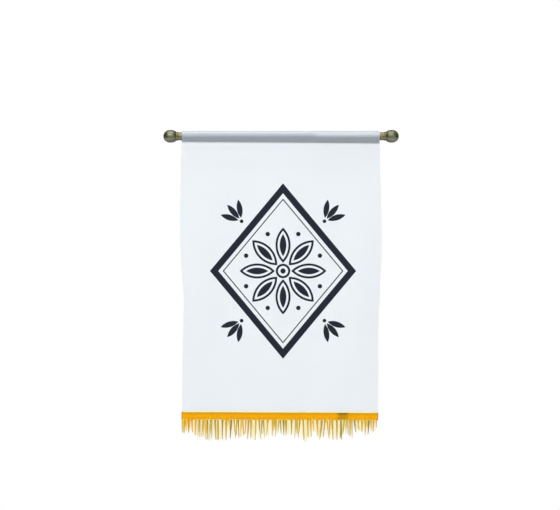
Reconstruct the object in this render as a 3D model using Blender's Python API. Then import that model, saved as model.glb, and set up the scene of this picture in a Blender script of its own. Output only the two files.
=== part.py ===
"""A podium banner on a rod.

A small hung banner: a white cloth panel under a grey satin heading, which wraps
a plain metal rod with a ball finial at each end, and a gold fringe along the
panel's lower edge.

Metres, +Z up. The rod lies along X with its middle at the origin, and the front
of the banner faces -Y. Tables are in millimetres and are scaled by MM.
"""

import math
from collections import namedtuple

import bmesh
import bpy
import numpy as np

MM = 0.001

# --------------------------------------------------------------- driving sizes
GAP = 0.3 * MM                   # between pieces that touch
CLOTH = 1.0 * MM                 # cloth thickness
MERGE_DISTANCE = 1e-7            # corners nearer than this are one
SLEEVE_LENGTH = 203.2 * MM       # the banner's nominal width

ROD_RADIUS = 3.97 * MM
ROD_PROUD = 0.1 * MM             # past the heading at each end
ROD_LENGTH = SLEEVE_LENGTH + 2 * ROD_PROUD
SPIGOT_RADIUS = 2.4 * MM         # turned end that carries a finial
SPIGOT_LENGTH = 5.0 * MM
ROD_CHAMFER = 0.4 * MM

BALL_RADIUS = 6.5 * MM
BALL_CENTRE = 12.3 * MM          # from the collar's face
SOCKET_RADIUS = SPIGOT_RADIUS + GAP
SOCKET_DEPTH = SPIGOT_LENGTH + GAP
BALL_STEPS = 7                   # from its widest ring to its pole
TURNED_SIDES = 24

SLEEVE_INNER = ROD_RADIUS + GAP
SLEEVE_OUTER = SLEEVE_INNER + CLOTH
SLEEVE_LIP_LEFT = -5.7 * MM      # height of the lips' lower edge at each end
SLEEVE_LIP_RIGHT = -7.1 * MM
SLEEVE_ARC_STEPS = 16
SLEEVE_SPANS = 16

PANEL_CLEARANCE = 1.3 * GAP      # between the rod and the panel's top edge
PANEL_TOP = -(ROD_RADIUS + PANEL_CLEARANCE)
PANEL_BOTTOM = -288.9 * MM
PANEL_COLUMNS = 26
PANEL_ROWS = 32

TAPE_LEFT = -102.0 * MM
TAPE_RIGHT = 99.3 * MM
TAPE_TOP_LEFT = -282.7 * MM
TAPE_TOP_RIGHT = -283.6 * MM
TAPE_HEIGHT = 7.3 * MM
TAPE_LAYER = 0.6 * MM            # depth of the front and of the back strands
TAPE_CORE = 0.3 * MM             # what parts the two layers
TAPE_DEPTH = 2 * TAPE_LAYER + TAPE_CORE

LOCK_STEPS = (0.22, 0.48, 0.74, 1.0)     # where a lock's sections lie, by its length
TIP_DEPTH = 0.4 * MM
LAYER_DRIFT = 0.9 * MM           # how far a layer leans out by the tips
TAPER_POWER = 1.2                # above 1: a lock narrows late
LEAN_POWER = 1.5                 # above 1: a lock bends sideways late
DRIFT_POWER = 2                  # above 1: a lock bends outwards late

# ---------------------------------------------------------------------- tables
# The finial from its face to the ball's widest ring: distance from the face, radius.
TurnedRow = namedtuple("TurnedRow", "along radius")
COLLAR = (
    TurnedRow(0.0, 3.95),
    TurnedRow(0.35, 4.35),
    TurnedRow(1.0, 4.35),
    TurnedRow(1.4, 4.05),
    TurnedRow(3.3, 4.05),
    TurnedRow(3.7, 4.5),
    TurnedRow(4.7, 4.5),
    TurnedRow(5.1, 4.35),
    TurnedRow(5.7, 4.65),
    TurnedRow(6.6, 5.3),
    TurnedRow(7.6, 5.9),
    TurnedRow(8.8, 6.3),
    TurnedRow(10.4, 6.47),
)

# The panel's side edges as it hangs.
EdgeRow = namedtuple("EdgeRow", "z left right")
PANEL_EDGES = (
    EdgeRow(-290.0, -101.9, 99.9),
    EdgeRow(-245.0, -101.4, 100.0),
    EdgeRow(-215.0, -101.0, 100.0),
    EdgeRow(-190.0, -100.2, 100.3),
    EdgeRow(-168.0, -99.8, 101.3),
    EdgeRow(-140.0, -101.9, 102.2),
    EdgeRow(-122.0, -103.0, 103.6),
    EdgeRow(-92.0, -103.8, 103.3),
    EdgeRow(-60.0, -103.3, 102.5),
    EdgeRow(-30.0, -102.7, 101.6),
    EdgeRow(-4.0, -102.0, 101.2),
)

# Soft flutes down the panel: forward is negative, and they swing a little.
FoldRow = namedtuple("FoldRow", "x_top x_bottom half_width depth")
PANEL_FOLDS = (
    FoldRow(-104.0, -106.0, 11.0, 1.6),
    FoldRow(-82.0, -90.0, 18.0, -2.2),
    FoldRow(-44.0, -52.0, 20.0, 1.7),
    FoldRow(-6.0, -2.0, 25.0, -1.5),
    FoldRow(34.0, 40.0, 19.0, 1.4),
    FoldRow(72.0, 78.0, 19.0, -2.1),
    FoldRow(103.0, 102.0, 10.0, 1.8),
)

# How much of their depth the flutes have: none at the heading.
GrowthRow = namedtuple("GrowthRow", "z share")
FOLD_GROWTH = (
    GrowthRow(-292.0, 0.45),
    GrowthRow(-240.0, 0.70),
    GrowthRow(-178.0, 1.00),
    GrowthRow(-120.0, 0.70),
    GrowthRow(-60.0, 0.30),
    GrowthRow(-20.0, 0.05),
    GrowthRow(-4.0, 0.0),
)

# Soft swells of the heading where it isn't drawn tight on the rod.
SwellRow = namedtuple("SwellRow", "x half_width height")
SLEEVE_SWELLS = (
    SwellRow(-80.0, 10.0, 0.20),
    SwellRow(44.0, 12.0, 0.15),
    SwellRow(94.0, 13.0, 0.30),
)

# The fringe's locks from left to right: middle and width of the root, length, how far the
# tip lies to the right of the root, width of the tip.
LockRow = namedtuple("LockRow", "x width length lean tip")
LOCKS = (
    LockRow(-101.2, 1.4, 14.0, -0.2, 0.8),
    LockRow(-99.3, 1.6, 15.0, -0.4, 0.6),
    LockRow(-97.5, 1.5, 12.5, 0.1, 0.7),
    LockRow(-95.5, 1.8, 15.5, 1.1, 0.8),
    LockRow(-93.4, 1.2, 12.0, -0.9, 0.5),
    LockRow(-91.4, 1.9, 14.0, 0.5, 0.7),
    LockRow(-87.6, 2.2, 17.0, -0.4, 1.0),
    LockRow(-84.6, 1.0, 19.0, -0.7, 0.5),
    LockRow(-83.3, 1.0, 18.5, 0.1, 0.5),
    LockRow(-80.4, 1.0, 19.5, -1.0, 0.5),
    LockRow(-79.0, 1.1, 17.5, -0.2, 0.6),
    LockRow(-76.9, 1.4, 21.8, -0.3, 0.9),
    LockRow(-75.3, 1.2, 21.6, 0.3, 0.8),
    LockRow(-72.5, 1.0, 21.5, -0.6, 0.6),
    LockRow(-71.2, 1.0, 19.5, 0.2, 0.5),
    LockRow(-67.7, 2.0, 21.5, 0.9, 0.7),
    LockRow(-64.6, 1.8, 22.8, 0.2, 1.5),
    LockRow(-60.1, 2.3, 21.0, -0.4, 0.8),
    LockRow(-56.2, 2.7, 21.5, -0.3, 0.7),
    LockRow(-53.6, 1.2, 11.0, 1.0, 0.5),
    LockRow(-51.1, 2.0, 20.0, -1.5, 0.7),
    LockRow(-48.2, 1.6, 20.5, 1.9, 0.8),
    LockRow(-45.3, 1.3, 16.5, -0.6, 0.5),
    LockRow(-43.7, 1.2, 20.0, 0.5, 0.5),
    LockRow(-40.8, 1.3, 18.5, -0.5, 0.5),
    LockRow(-39.3, 1.0, 17.0, 0.6, 0.4),
    LockRow(-36.1, 1.8, 15.5, -0.8, 0.6),
    LockRow(-33.3, 1.9, 20.5, -1.2, 0.9),
    LockRow(-30.8, 1.6, 19.5, -0.2, 0.8),
    LockRow(-25.9, 1.6, 22.0, -0.7, 1.1),
    LockRow(-22.5, 1.5, 20.0, 1.9, 0.5),
    LockRow(-19.6, 1.3, 15.0, -0.2, 0.5),
    LockRow(-18.0, 1.2, 19.5, 1.0, 0.5),
    LockRow(-13.7, 2.0, 17.0, -1.2, 0.5),
    LockRow(-8.6, 2.0, 17.5, -0.3, 0.5),
    LockRow(-6.5, 1.5, 12.0, -0.9, 0.5),
    LockRow(-4.9, 1.0, 18.0, -0.9, 0.4),
    LockRow(-2.3, 1.2, 14.5, -1.0, 0.4),
    LockRow(-0.7, 1.1, 14.5, 0.6, 0.4),
    LockRow(2.5, 2.3, 16.5, 0.3, 0.5),
    LockRow(5.2, 2.2, 16.5, -0.1, 0.5),
    LockRow(10.8, 2.1, 15.5, 0.0, 0.5),
    LockRow(14.9, 1.2, 19.5, -0.8, 0.5),
    LockRow(16.4, 1.2, 15.0, 0.0, 0.5),
    LockRow(19.3, 1.6, 19.5, -2.0, 0.6),
    LockRow(22.6, 1.6, 22.0, 0.9, 1.2),
    LockRow(27.5, 1.5, 20.0, 0.2, 0.7),
    LockRow(30.3, 1.9, 18.0, 0.8, 0.7),
    LockRow(32.7, 1.6, 13.0, 1.0, 0.5),
    LockRow(37.0, 2.4, 17.5, 0.8, 0.5),
    LockRow(41.7, 2.4, 20.0, -2.0, 0.6),
    LockRow(45.0, 1.6, 19.0, -2.0, 0.8),
    LockRow(47.3, 1.8, 19.5, 2.1, 0.7),
    LockRow(50.2, 1.2, 17.0, -0.3, 0.6),
    LockRow(52.5, 2.6, 21.0, 0.9, 0.7),
    LockRow(57.2, 2.2, 21.0, 0.2, 0.7),
    LockRow(61.4, 1.5, 20.8, 0.1, 2.2),
    LockRow(64.8, 1.4, 15.0, -1.5, 0.5),
    LockRow(67.1, 1.0, 13.5, -0.7, 0.4),
    LockRow(68.4, 0.9, 16.5, 0.5, 0.4),
    LockRow(70.7, 1.3, 17.0, -0.1, 0.6),
    LockRow(72.7, 1.3, 19.0, 0.2, 0.7),
    LockRow(75.2, 1.7, 13.0, 1.5, 0.4),
    LockRow(79.1, 1.8, 10.5, 0.6, 0.5),
    LockRow(83.1, 2.2, 12.5, -0.6, 0.6),
    LockRow(86.4, 2.2, 15.5, -0.1, 0.7),
    LockRow(88.3, 0.9, 8.0, 0.2, 0.5),
    LockRow(90.1, 1.7, 14.5, -0.9, 0.7),
    LockRow(92.3, 1.6, 11.5, 0.0, 0.5),
    LockRow(95.0, 2.2, 13.0, -0.8, 0.6),
    LockRow(97.5, 1.5, 8.5, 0.0, 0.6),
)

DISPLAY_GAMMA = 2.2              # from a display colour to a linear one

# name, sRGB colour, roughness, metallic
FinishRow = namedtuple("FinishRow", "name colour roughness metallic")
ROD_FINISH = FinishRow("gold_coloured_rod", (0.70, 0.60, 0.36), 0.35, 1.0)
FINIAL_FINISH = FinishRow("antique_brass", (0.50, 0.49, 0.36), 0.25, 1.0)
SLEEVE_FINISH = FinishRow("silver_satin", (0.66, 0.69, 0.73), 0.45, 0.0)
PANEL_FINISH = FinishRow("white_cloth", (0.92, 0.94, 0.96), 0.80, 0.0)
FRINGE_FINISH = FinishRow("gold_yarn", (0.94, 0.66, 0.07), 0.55, 0.0)


# --------------------------------------------------------------------- helpers
def clear_scene():
    """Start from an empty scene."""
    for item in list(bpy.data.objects):
        bpy.data.objects.remove(item, do_unlink=True)


def material(finish):
    """A Principled material for one finish row."""
    made = bpy.data.materials.new(finish.name)
    made.use_nodes = True
    shader = made.node_tree.nodes["Principled BSDF"]
    linear = [channel ** DISPLAY_GAMMA for channel in finish.colour]
    shader.inputs["Base Color"].default_value = (*linear, 1.0)
    shader.inputs["Roughness"].default_value = finish.roughness
    shader.inputs["Metallic"].default_value = finish.metallic
    made.diffuse_color = (*finish.colour, 1.0)
    return made


def place(name, mesh, finish_material, location=(0.0, 0.0, 0.0), turn=0.0):
    """Link a named object for one sub-part."""
    if not mesh.materials:
        mesh.materials.append(finish_material)
    item = bpy.data.objects.new(name, mesh)
    item.location = location
    item.rotation_euler = (0.0, 0.0, turn)
    bpy.context.scene.collection.objects.link(item)
    return item


def mesh_from(work, name, sharp_degrees=35.0):
    """Turn a bmesh into a smooth-shaded mesh with sharp edges kept."""
    bmesh.ops.recalc_face_normals(work, faces=work.faces)
    mesh = bpy.data.meshes.new(name)
    work.to_mesh(mesh)
    work.free()
    mesh.shade_smooth()
    mesh.set_sharp_from_angle(angle=math.radians(sharp_degrees))
    return mesh


def smooth_curve(places, values):
    """A soft curve through a table: value at a place, flat beyond its ends."""
    knots = np.array(places) * MM
    levels = np.array(values)
    slopes = np.gradient(levels, knots)

    def level_at(where):
        span = int(np.clip(np.searchsorted(knots, where) - 1, 0, len(knots) - 2))
        width = knots[span + 1] - knots[span]
        t = float(np.clip((where - knots[span]) / width, 0.0, 1.0))
        ease = t * t * (3.0 - 2.0 * t)
        return float(
            levels[span] * (1.0 - ease)
            + levels[span + 1] * ease
            + slopes[span] * width * t * (1.0 - t) ** 2
            - slopes[span + 1] * width * t * t * (1.0 - t)
        )

    return level_at


def column_curve(rows, place_name, value_name, scale=MM):
    """The soft curve of one named column of a table."""
    places = [getattr(row, place_name) for row in rows]
    values = [getattr(row, value_name) * scale for row in rows]
    return smooth_curve(places, values)


def bell(distance, half_width):
    """A smooth hump: 1 in its middle, near 0 past twice its half width."""
    return math.exp(-(distance / half_width) ** 2)


def between(start, end, share):
    """The value a share of the way from start to end."""
    return start + (end - start) * share


# ------------------------------------------------------------------ turned work
def turned_mesh(name, profile):
    """Spin a profile of (along X, radius) points, both ends on the axis."""
    work = bmesh.new()
    rings = []
    for along, radius in profile:
        if radius == 0.0:
            rings.append([work.verts.new((along, 0.0, 0.0))])
            continue
        ring = []
        for side in range(TURNED_SIDES):
            angle = 2.0 * math.pi * side / TURNED_SIDES
            ring.append(work.verts.new((along, radius * math.cos(angle), radius * math.sin(angle))))
        rings.append(ring)
    for near, far in zip(rings, rings[1:]):
        for side in range(TURNED_SIDES):
            following = (side + 1) % TURNED_SIDES
            if len(near) == 1:
                work.faces.new((near[0], far[side], far[following]))
            elif len(far) == 1:
                work.faces.new((near[side], far[0], near[following]))
            else:
                work.faces.new((near[side], far[side], far[following], near[following]))
    return mesh_from(work, name)


def rod_mesh():
    """The plain rod with a turned spigot at each end."""
    shoulder = ROD_LENGTH / 2
    end = shoulder + SPIGOT_LENGTH
    half = (
        (end, 0.0),
        (end, SPIGOT_RADIUS - ROD_CHAMFER),
        (end - ROD_CHAMFER, SPIGOT_RADIUS),
        (shoulder, SPIGOT_RADIUS),
        (shoulder, ROD_RADIUS - ROD_CHAMFER),
        (shoulder - ROD_CHAMFER, ROD_RADIUS),
    )
    left = [(-along, radius) for along, radius in half]
    return turned_mesh("rod", left + list(reversed(half)))


def finial_mesh():
    """A ball that flares out of its ridged collar, with the socket that takes the spigot."""
    profile = [(SOCKET_DEPTH, 0.0), (SOCKET_DEPTH, SOCKET_RADIUS), (0.0, SOCKET_RADIUS)]
    profile += [(row.along * MM, row.radius * MM) for row in COLLAR]
    for step in range(BALL_STEPS + 1):
        angle = math.pi / 2 * (1.0 - step / BALL_STEPS)
        radius = BALL_RADIUS * math.sin(angle) if step < BALL_STEPS else 0.0
        profile.append((BALL_CENTRE + BALL_RADIUS * math.cos(angle), radius))
    return turned_mesh("finial", profile)


# ----------------------------------------------------------------------- sleeve
def sleeve_section(lip, swell):
    """The heading's closed section: once round the rod, its lips straight down.

    lip is the height of the lower edge and swell what the loop stands off more.
    """
    inner = SLEEVE_INNER + swell
    outer = SLEEVE_OUTER + swell
    mouth = CLOTH / 2 + GAP
    reach = math.hypot(mouth, lip)
    slope = math.asin(inner / reach) - math.atan2(mouth, -lip)
    lip_outer = mouth + CLOTH / math.cos(slope)
    arc = [
        -slope + (math.pi + 2.0 * slope) * step / SLEEVE_ARC_STEPS
        for step in range(SLEEVE_ARC_STEPS + 1)
    ]
    outside = [(lip_outer, lip)]
    outside += [(outer * math.cos(angle), outer * math.sin(angle)) for angle in arc]
    outside += [(-lip_outer, lip)]
    inside = [(mouth, lip)]
    inside += [(inner * math.cos(angle), inner * math.sin(angle)) for angle in arc]
    inside += [(-mouth, lip)]
    return outside, inside


def sleeve_mesh():
    """The grey heading, lofted along the rod."""
    work = bmesh.new()
    stations = []
    for span in range(SLEEVE_SPANS + 1):
        share = span / SLEEVE_SPANS
        x = between(-SLEEVE_LENGTH / 2, SLEEVE_LENGTH / 2, share)
        swell = sum(row.height * bell(x / MM - row.x, row.half_width) for row in SLEEVE_SWELLS) * MM
        outside, inside = sleeve_section(between(SLEEVE_LIP_LEFT, SLEEVE_LIP_RIGHT, share), swell)
        stations.append((
            [work.verts.new((x, y, z)) for y, z in outside],
            [work.verts.new((x, y, z)) for y, z in inside],
        ))
    for (out_a, in_a), (out_b, in_b) in zip(stations, stations[1:]):
        for step in range(len(out_a) - 1):
            work.faces.new((out_a[step], out_b[step], out_b[step + 1], out_a[step + 1]))
            work.faces.new((in_a[step], in_a[step + 1], in_b[step + 1], in_b[step]))
        for lip in (0, -1):
            work.faces.new((out_a[lip], in_a[lip], in_b[lip], out_b[lip]))
    for outside, inside in (stations[0], stations[-1]):
        for step in range(len(outside) - 1):
            work.faces.new((outside[step], outside[step + 1], inside[step + 1], inside[step]))
    return mesh_from(work, "rod_sleeve")


# ------------------------------------------------------------------------ panel
left_edge = column_curve(PANEL_EDGES, "z", "left")
right_edge = column_curve(PANEL_EDGES, "z", "right")
fold_growth = column_curve(FOLD_GROWTH, "z", "share", scale=1.0)


def fold_depth(x, z):
    """How far the middle of the cloth lies behind the plane of the rod's axis."""
    drop = (PANEL_TOP - z) / (PANEL_TOP - PANEL_BOTTOM)
    depth = 0.0
    for row in PANEL_FOLDS:
        centre = between(row.x_top, row.x_bottom, drop)
        depth += row.depth * bell(x / MM - centre, row.half_width)
    return depth * MM * fold_growth(z)


def panel_mesh():
    """The white panel: one sheet in its hung outline and flutes."""
    work = bmesh.new()
    sides = []
    for face_offset in (-CLOTH / 2, CLOTH / 2):
        grid = []
        for row in range(PANEL_ROWS + 1):
            z = between(PANEL_TOP, PANEL_BOTTOM, row / PANEL_ROWS)
            line = []
            for column in range(PANEL_COLUMNS + 1):
                x = between(left_edge(z), right_edge(z), column / PANEL_COLUMNS)
                line.append(work.verts.new((x, fold_depth(x, z) + face_offset, z)))
            grid.append(line)
        sides.append(grid)
    for grid in sides:
        for upper, lower in zip(grid, grid[1:]):
            for column in range(PANEL_COLUMNS):
                work.faces.new((upper[column], upper[column + 1], lower[column + 1], lower[column]))
    rims = []
    for grid in sides:
        down = [line[-1] for line in grid]
        up = [line[0] for line in reversed(grid)]
        rims.append(grid[0][:-1] + down[:-1] + list(reversed(grid[-1]))[:-1] + up[:-1])
    front, back = rims
    for step in range(len(front)):
        following = (step + 1) % len(front)
        work.faces.new((front[step], front[following], back[following], back[step]))
    return mesh_from(work, "banner_panel")


# ----------------------------------------------------------------------- fringe
Lock = namedtuple("Lock", "left right length lean tip layer")


def all_locks():
    """Every lock from left to right, in a front and a back layer by turns."""
    locks = []
    for order, row in enumerate(LOCKS):
        left = (row.x - row.width / 2) * MM
        right = (row.x + row.width / 2) * MM
        locks.append(Lock(left, right, row.length * MM, row.lean * MM, row.tip * MM, order % 2))
    return locks


def tape_top(x):
    """Height of the heading tape's upper edge, which slopes a little."""
    share = (x - TAPE_LEFT) / (TAPE_RIGHT - TAPE_LEFT)
    return between(TAPE_TOP_LEFT, TAPE_TOP_RIGHT, share)


def tape_back(x):
    """Depth of the tape's back face, just clear of the cloth that it covers."""
    return fold_depth(x, tape_top(x) - TAPE_HEIGHT / 2) - CLOTH / 2 - GAP


def draw_out(work, face, lock):
    """Draw one root face of the tape down into a tapering lock."""
    centre_x = (lock.left + lock.right) / 2
    root = [(corner.co.x - centre_x, corner.co.y, corner.co.z) for corner in face.verts]
    middle_y = sum(y for _, y, _ in root) / len(root)
    drift = -LAYER_DRIFT if lock.layer == 0 else LAYER_DRIFT
    tip_share = lock.tip / (lock.right - lock.left)
    for step in LOCK_STEPS:
        drawn = bmesh.ops.extrude_discrete_faces(work, faces=[face])
        face = drawn["faces"][0]
        wide = between(1.0, tip_share, step ** TAPER_POWER)
        deep = between(1.0, TIP_DEPTH / TAPE_LAYER, step)
        for corner, (x, y, z) in zip(face.verts, root):
            corner.co.x = centre_x + x * wide + lock.lean * step ** LEAN_POWER
            corner.co.y = middle_y + (y - middle_y) * deep + drift * step ** DRIFT_POWER
            corner.co.z = z - lock.length * step


def fringe_mesh():
    """The gold tape with its locks, fused at their roots."""
    locks = all_locks()
    bounds = {TAPE_LEFT: None, TAPE_RIGHT: None}
    for lock in locks:
        bounds[lock.left] = lock
        bounds[lock.right] = None
    cuts = sorted(bounds)
    layers = (0.0, TAPE_LAYER, TAPE_LAYER + TAPE_CORE, TAPE_DEPTH)
    work = bmesh.new()
    columns = []
    for x in cuts:
        front = tape_back(x) - TAPE_DEPTH
        low = tape_top(x) - TAPE_HEIGHT
        bottom = [work.verts.new((x, front + layer, low)) for layer in layers]
        top = [work.verts.new((x, front + layer, tape_top(x))) for layer in (0.0, TAPE_DEPTH)]
        columns.append((bottom, top))
    roots = []
    for cut, (bottom_a, top_a), (bottom_b, top_b) in zip(cuts, columns, columns[1:]):
        work.faces.new((bottom_a[0], bottom_b[0], top_b[0], top_a[0]))
        work.faces.new((bottom_a[-1], top_a[1], top_b[1], bottom_b[-1]))
        work.faces.new((top_a[0], top_b[0], top_b[1], top_a[1]))
        for layer in range(len(layers) - 1):
            face = work.faces.new(
                (bottom_a[layer], bottom_a[layer + 1], bottom_b[layer + 1], bottom_b[layer])
            )
            lock = bounds[cut]
            if lock is not None and layer == 2 * lock.layer:
                roots.append((face, lock))
    for bottom, top in (columns[0], columns[-1]):
        work.faces.new(bottom + [top[1], top[0]])
    bmesh.ops.recalc_face_normals(work, faces=work.faces)
    for face, lock in roots:
        draw_out(work, face, lock)
    bmesh.ops.remove_doubles(work, verts=work.verts, dist=MERGE_DISTANCE)
    return mesh_from(work, "fringe")


# ------------------------------------------------------------------------ model
def build():
    """Make every piece of the banner."""
    clear_scene()
    place("rod", rod_mesh(), material(ROD_FINISH))
    finial = finial_mesh()
    finial_material = material(FINIAL_FINISH)
    collar_face = ROD_LENGTH / 2 + GAP
    place("finial_right", finial, finial_material, location=(collar_face, 0.0, 0.0))
    place("finial_left", finial, finial_material, location=(-collar_face, 0.0, 0.0), turn=math.pi)
    place("rod_sleeve", sleeve_mesh(), material(SLEEVE_FINISH))
    place("banner_panel", panel_mesh(), material(PANEL_FINISH))
    place("fringe", fringe_mesh(), material(FRINGE_FINISH))


build()
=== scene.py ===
"""The looks of a small podium banner: printed cloth, satin heading, turned metal, gold fringe.

Metres, +Z up. The rod lies along X through the origin and the front faces -Y, as in the
frame. Tables are in millimetres and are scaled by MM.
"""

import logging
import math
import random
from dataclasses import dataclass, replace
from enum import Enum
from typing import Any, Iterable, NamedTuple, Sequence, Union

import bmesh
import bpy
import numpy as np
from mathutils import Matrix, Vector


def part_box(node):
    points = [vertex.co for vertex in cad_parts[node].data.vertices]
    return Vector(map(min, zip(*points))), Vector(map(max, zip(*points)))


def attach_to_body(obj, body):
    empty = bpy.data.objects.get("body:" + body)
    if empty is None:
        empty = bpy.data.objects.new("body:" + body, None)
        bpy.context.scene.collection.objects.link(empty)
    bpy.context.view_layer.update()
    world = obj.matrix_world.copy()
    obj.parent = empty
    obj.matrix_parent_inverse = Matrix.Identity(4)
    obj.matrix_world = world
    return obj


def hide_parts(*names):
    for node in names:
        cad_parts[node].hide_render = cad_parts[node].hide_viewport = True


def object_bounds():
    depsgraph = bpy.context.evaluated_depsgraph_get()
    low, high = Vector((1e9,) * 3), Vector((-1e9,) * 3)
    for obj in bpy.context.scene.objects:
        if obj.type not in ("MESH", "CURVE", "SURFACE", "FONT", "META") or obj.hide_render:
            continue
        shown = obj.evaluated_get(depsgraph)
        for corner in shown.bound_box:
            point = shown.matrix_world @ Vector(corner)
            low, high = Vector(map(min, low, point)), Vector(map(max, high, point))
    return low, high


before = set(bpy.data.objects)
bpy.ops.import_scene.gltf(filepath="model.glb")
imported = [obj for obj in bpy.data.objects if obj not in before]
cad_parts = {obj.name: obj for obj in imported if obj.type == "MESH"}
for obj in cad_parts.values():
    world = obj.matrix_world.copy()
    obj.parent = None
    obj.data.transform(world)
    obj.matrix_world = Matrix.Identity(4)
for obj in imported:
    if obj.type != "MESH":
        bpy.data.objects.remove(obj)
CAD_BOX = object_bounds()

log = logging.getLogger("banner")

MM = 0.001
BODY = "root"

Colour = tuple[float, float, float]
Number = Union["Field", float]


# ===================================================================== node wiring
class Field:
    """A value that varies over a surface or along a thread: one socket, with arithmetic.

    It works in shader and geometry trees alike, because both have the same maths node.
    """

    def __init__(self, tree: bpy.types.NodeTree, socket: bpy.types.NodeSocket) -> None:
        """Wrap a socket of a tree."""
        self.tree = tree
        self.socket = socket

    def apply(self, operation: str, *others: Number) -> "Field":
        """Feed this value and others to a maths node.

        Args:
            operation: the maths node's operation.
            others: the node's further inputs.

        Returns:
            The node's result.
        """
        node = self.tree.nodes.new("ShaderNodeMath")
        node.operation = operation
        for entry, value in zip(node.inputs, (self, *others)):
            attach(self.tree, entry, value)
        return Field(self.tree, node.outputs[0])

    def __add__(self, other: Number) -> "Field":
        """Sum."""
        return self.apply("ADD", other)

    def __sub__(self, other: Number) -> "Field":
        """Difference."""
        return self.apply("SUBTRACT", other)

    def __mul__(self, other: Number) -> "Field":
        """Product."""
        return self.apply("MULTIPLY", other)

    def __truediv__(self, other: Number) -> "Field":
        """Quotient."""
        return self.apply("DIVIDE", other)

    def __abs__(self) -> "Field":
        """Size without sign."""
        return self.apply("ABSOLUTE")

    def least(self, other: Number) -> "Field":
        """The smaller of two values."""
        return self.apply("MINIMUM", other)

    def power(self, exponent: float) -> "Field":
        """This value raised to an exponent."""
        return self.apply("POWER", exponent)

    def ramp(self, low: float, high: float, to_low: float = 0.0, to_high: float = 1.0) -> "Field":
        """Map low..high softly to to_low..to_high, held at both ends.

        Args:
            low: the value where the ramp starts.
            high: the value where it ends.
            to_low: what low becomes.
            to_high: what high becomes.

        Returns:
            The mapped value.
        """
        node = add_node(self.tree, "ShaderNodeMapRange", interpolation_type="SMOOTHSTEP", clamp=True)
        settings = {"Value": self, "From Min": low, "From Max": high, "To Min": to_low, "To Max": to_high}
        for name, value in settings.items():
            attach(self.tree, node.inputs[name], value)
        return Field(self.tree, node.outputs["Result"])


def attach(tree: bpy.types.NodeTree, entry: bpy.types.NodeSocket, value: Any) -> None:
    """Link a Field or a socket to an input, or set the input to a plain value."""
    if isinstance(value, Field):
        value = value.socket
    if isinstance(value, bpy.types.NodeSocket):
        tree.links.new(value, entry)
    else:
        entry.default_value = value


def add_node(
    tree: bpy.types.NodeTree, kind: str, inputs: dict[str, Any] | None = None, **settings: Any
) -> bpy.types.Node:
    """Add a node, set its options, and fill its inputs by name.

    Args:
        tree: the tree that gets the node.
        kind: the node's type name.
        inputs: a value, Field or socket for each named input.
        settings: the node's own options.

    Returns:
        The new node.
    """
    node = tree.nodes.new(kind)
    for name, value in settings.items():
        setattr(node, name, value)
    for name, value in (inputs or {}).items():
        attach(tree, next(s for s in node.inputs if s.name == name and s.enabled), value)
    return node


def split(tree: bpy.types.NodeTree, vector: Field) -> tuple[Field, Field, Field]:
    """The three parts of a vector."""
    node = add_node(tree, "ShaderNodeSeparateXYZ", {"Vector": vector})
    return tuple(Field(tree, out) for out in node.outputs)


def join(tree: bpy.types.NodeTree, x: Number, y: Number, z: Number) -> Field:
    """A vector from its three parts."""
    return Field(tree, add_node(tree, "ShaderNodeCombineXYZ", {"X": x, "Y": y, "Z": z}).outputs[0])


def blend_colour(tree: bpy.types.NodeTree, share: Number, under: Any, over: Any) -> Field:
    """Mix two colours.

    Args:
        tree: the shader tree.
        share: how much of the upper colour shows, 0 to 1.
        under: the lower colour, as a Field or an sRGB triple.
        over: the upper colour, as a Field or an sRGB triple.

    Returns:
        The mixed colour.
    """
    node = tree.nodes.new("ShaderNodeMix")
    node.data_type = "RGBA"
    attach(tree, node.inputs[0], share)
    for entry, value in ((node.inputs[6], under), (node.inputs[7], over)):
        attach(tree, entry, value if isinstance(value, Field) else linear(value))
    return Field(tree, node.outputs[2])


def linear(colour: Colour) -> tuple[float, float, float, float]:
    """A display colour as linear light with full alpha."""
    light = [c / 12.92 if c <= 0.04045 else ((c + 0.055) / 1.055) ** 2.4 for c in colour]
    return (*light, 1.0)


class SocketRow(NamedTuple):
    """One named input or output of a node group."""

    name: str
    kind: str = "NodeSocketFloat"
    default: float | None = None


class Group:
    """A node group in the making, with its entries as Fields."""

    def __init__(
        self, name: str, kind: str, inputs: Iterable[SocketRow], outputs: Iterable[SocketRow]
    ) -> None:
        """Make the tree and its sockets.

        Args:
            name: the group's name.
            kind: ShaderNodeTree or GeometryNodeTree.
            inputs: a row for each input.
            outputs: a row for each output.
        """
        self.tree = bpy.data.node_groups.new(name, kind)
        for row in inputs:
            made = self.tree.interface.new_socket(row.name, in_out="INPUT", socket_type=row.kind)
            if row.default is not None:
                made.default_value = row.default
        for row in outputs:
            self.tree.interface.new_socket(row.name, in_out="OUTPUT", socket_type=row.kind)
        self.entry = self.tree.nodes.new("NodeGroupInput")
        self.exit = self.tree.nodes.new("NodeGroupOutput")

    def __getitem__(self, name: str) -> Field:
        """The Field of a named input."""
        return Field(self.tree, self.entry.outputs[name])

    def give(self, **results: Any) -> bpy.types.NodeTree:
        """Join results to the named outputs; an underscore stands for a space."""
        for name, value in results.items():
            attach(self.tree, self.exit.inputs[name.replace("_", " ")], value)
        return self.tree


def use_group(
    tree: bpy.types.NodeTree, group: bpy.types.NodeTree, inputs: dict[str, Any]
) -> dict[str, Field]:
    """Place a shader group in a tree.

    Args:
        tree: the material's tree.
        group: the group to place.
        inputs: values by input name.

    Returns:
        The group's outputs by name.
    """
    node = tree.nodes.new("ShaderNodeGroup")
    node.node_tree = group
    for name, value in inputs.items():
        attach(tree, node.inputs[name], value)
    return {out.name: Field(tree, out) for out in node.outputs}


# ============================================================ effects several finishes use
VECTOR = "NodeSocketVector"


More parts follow.
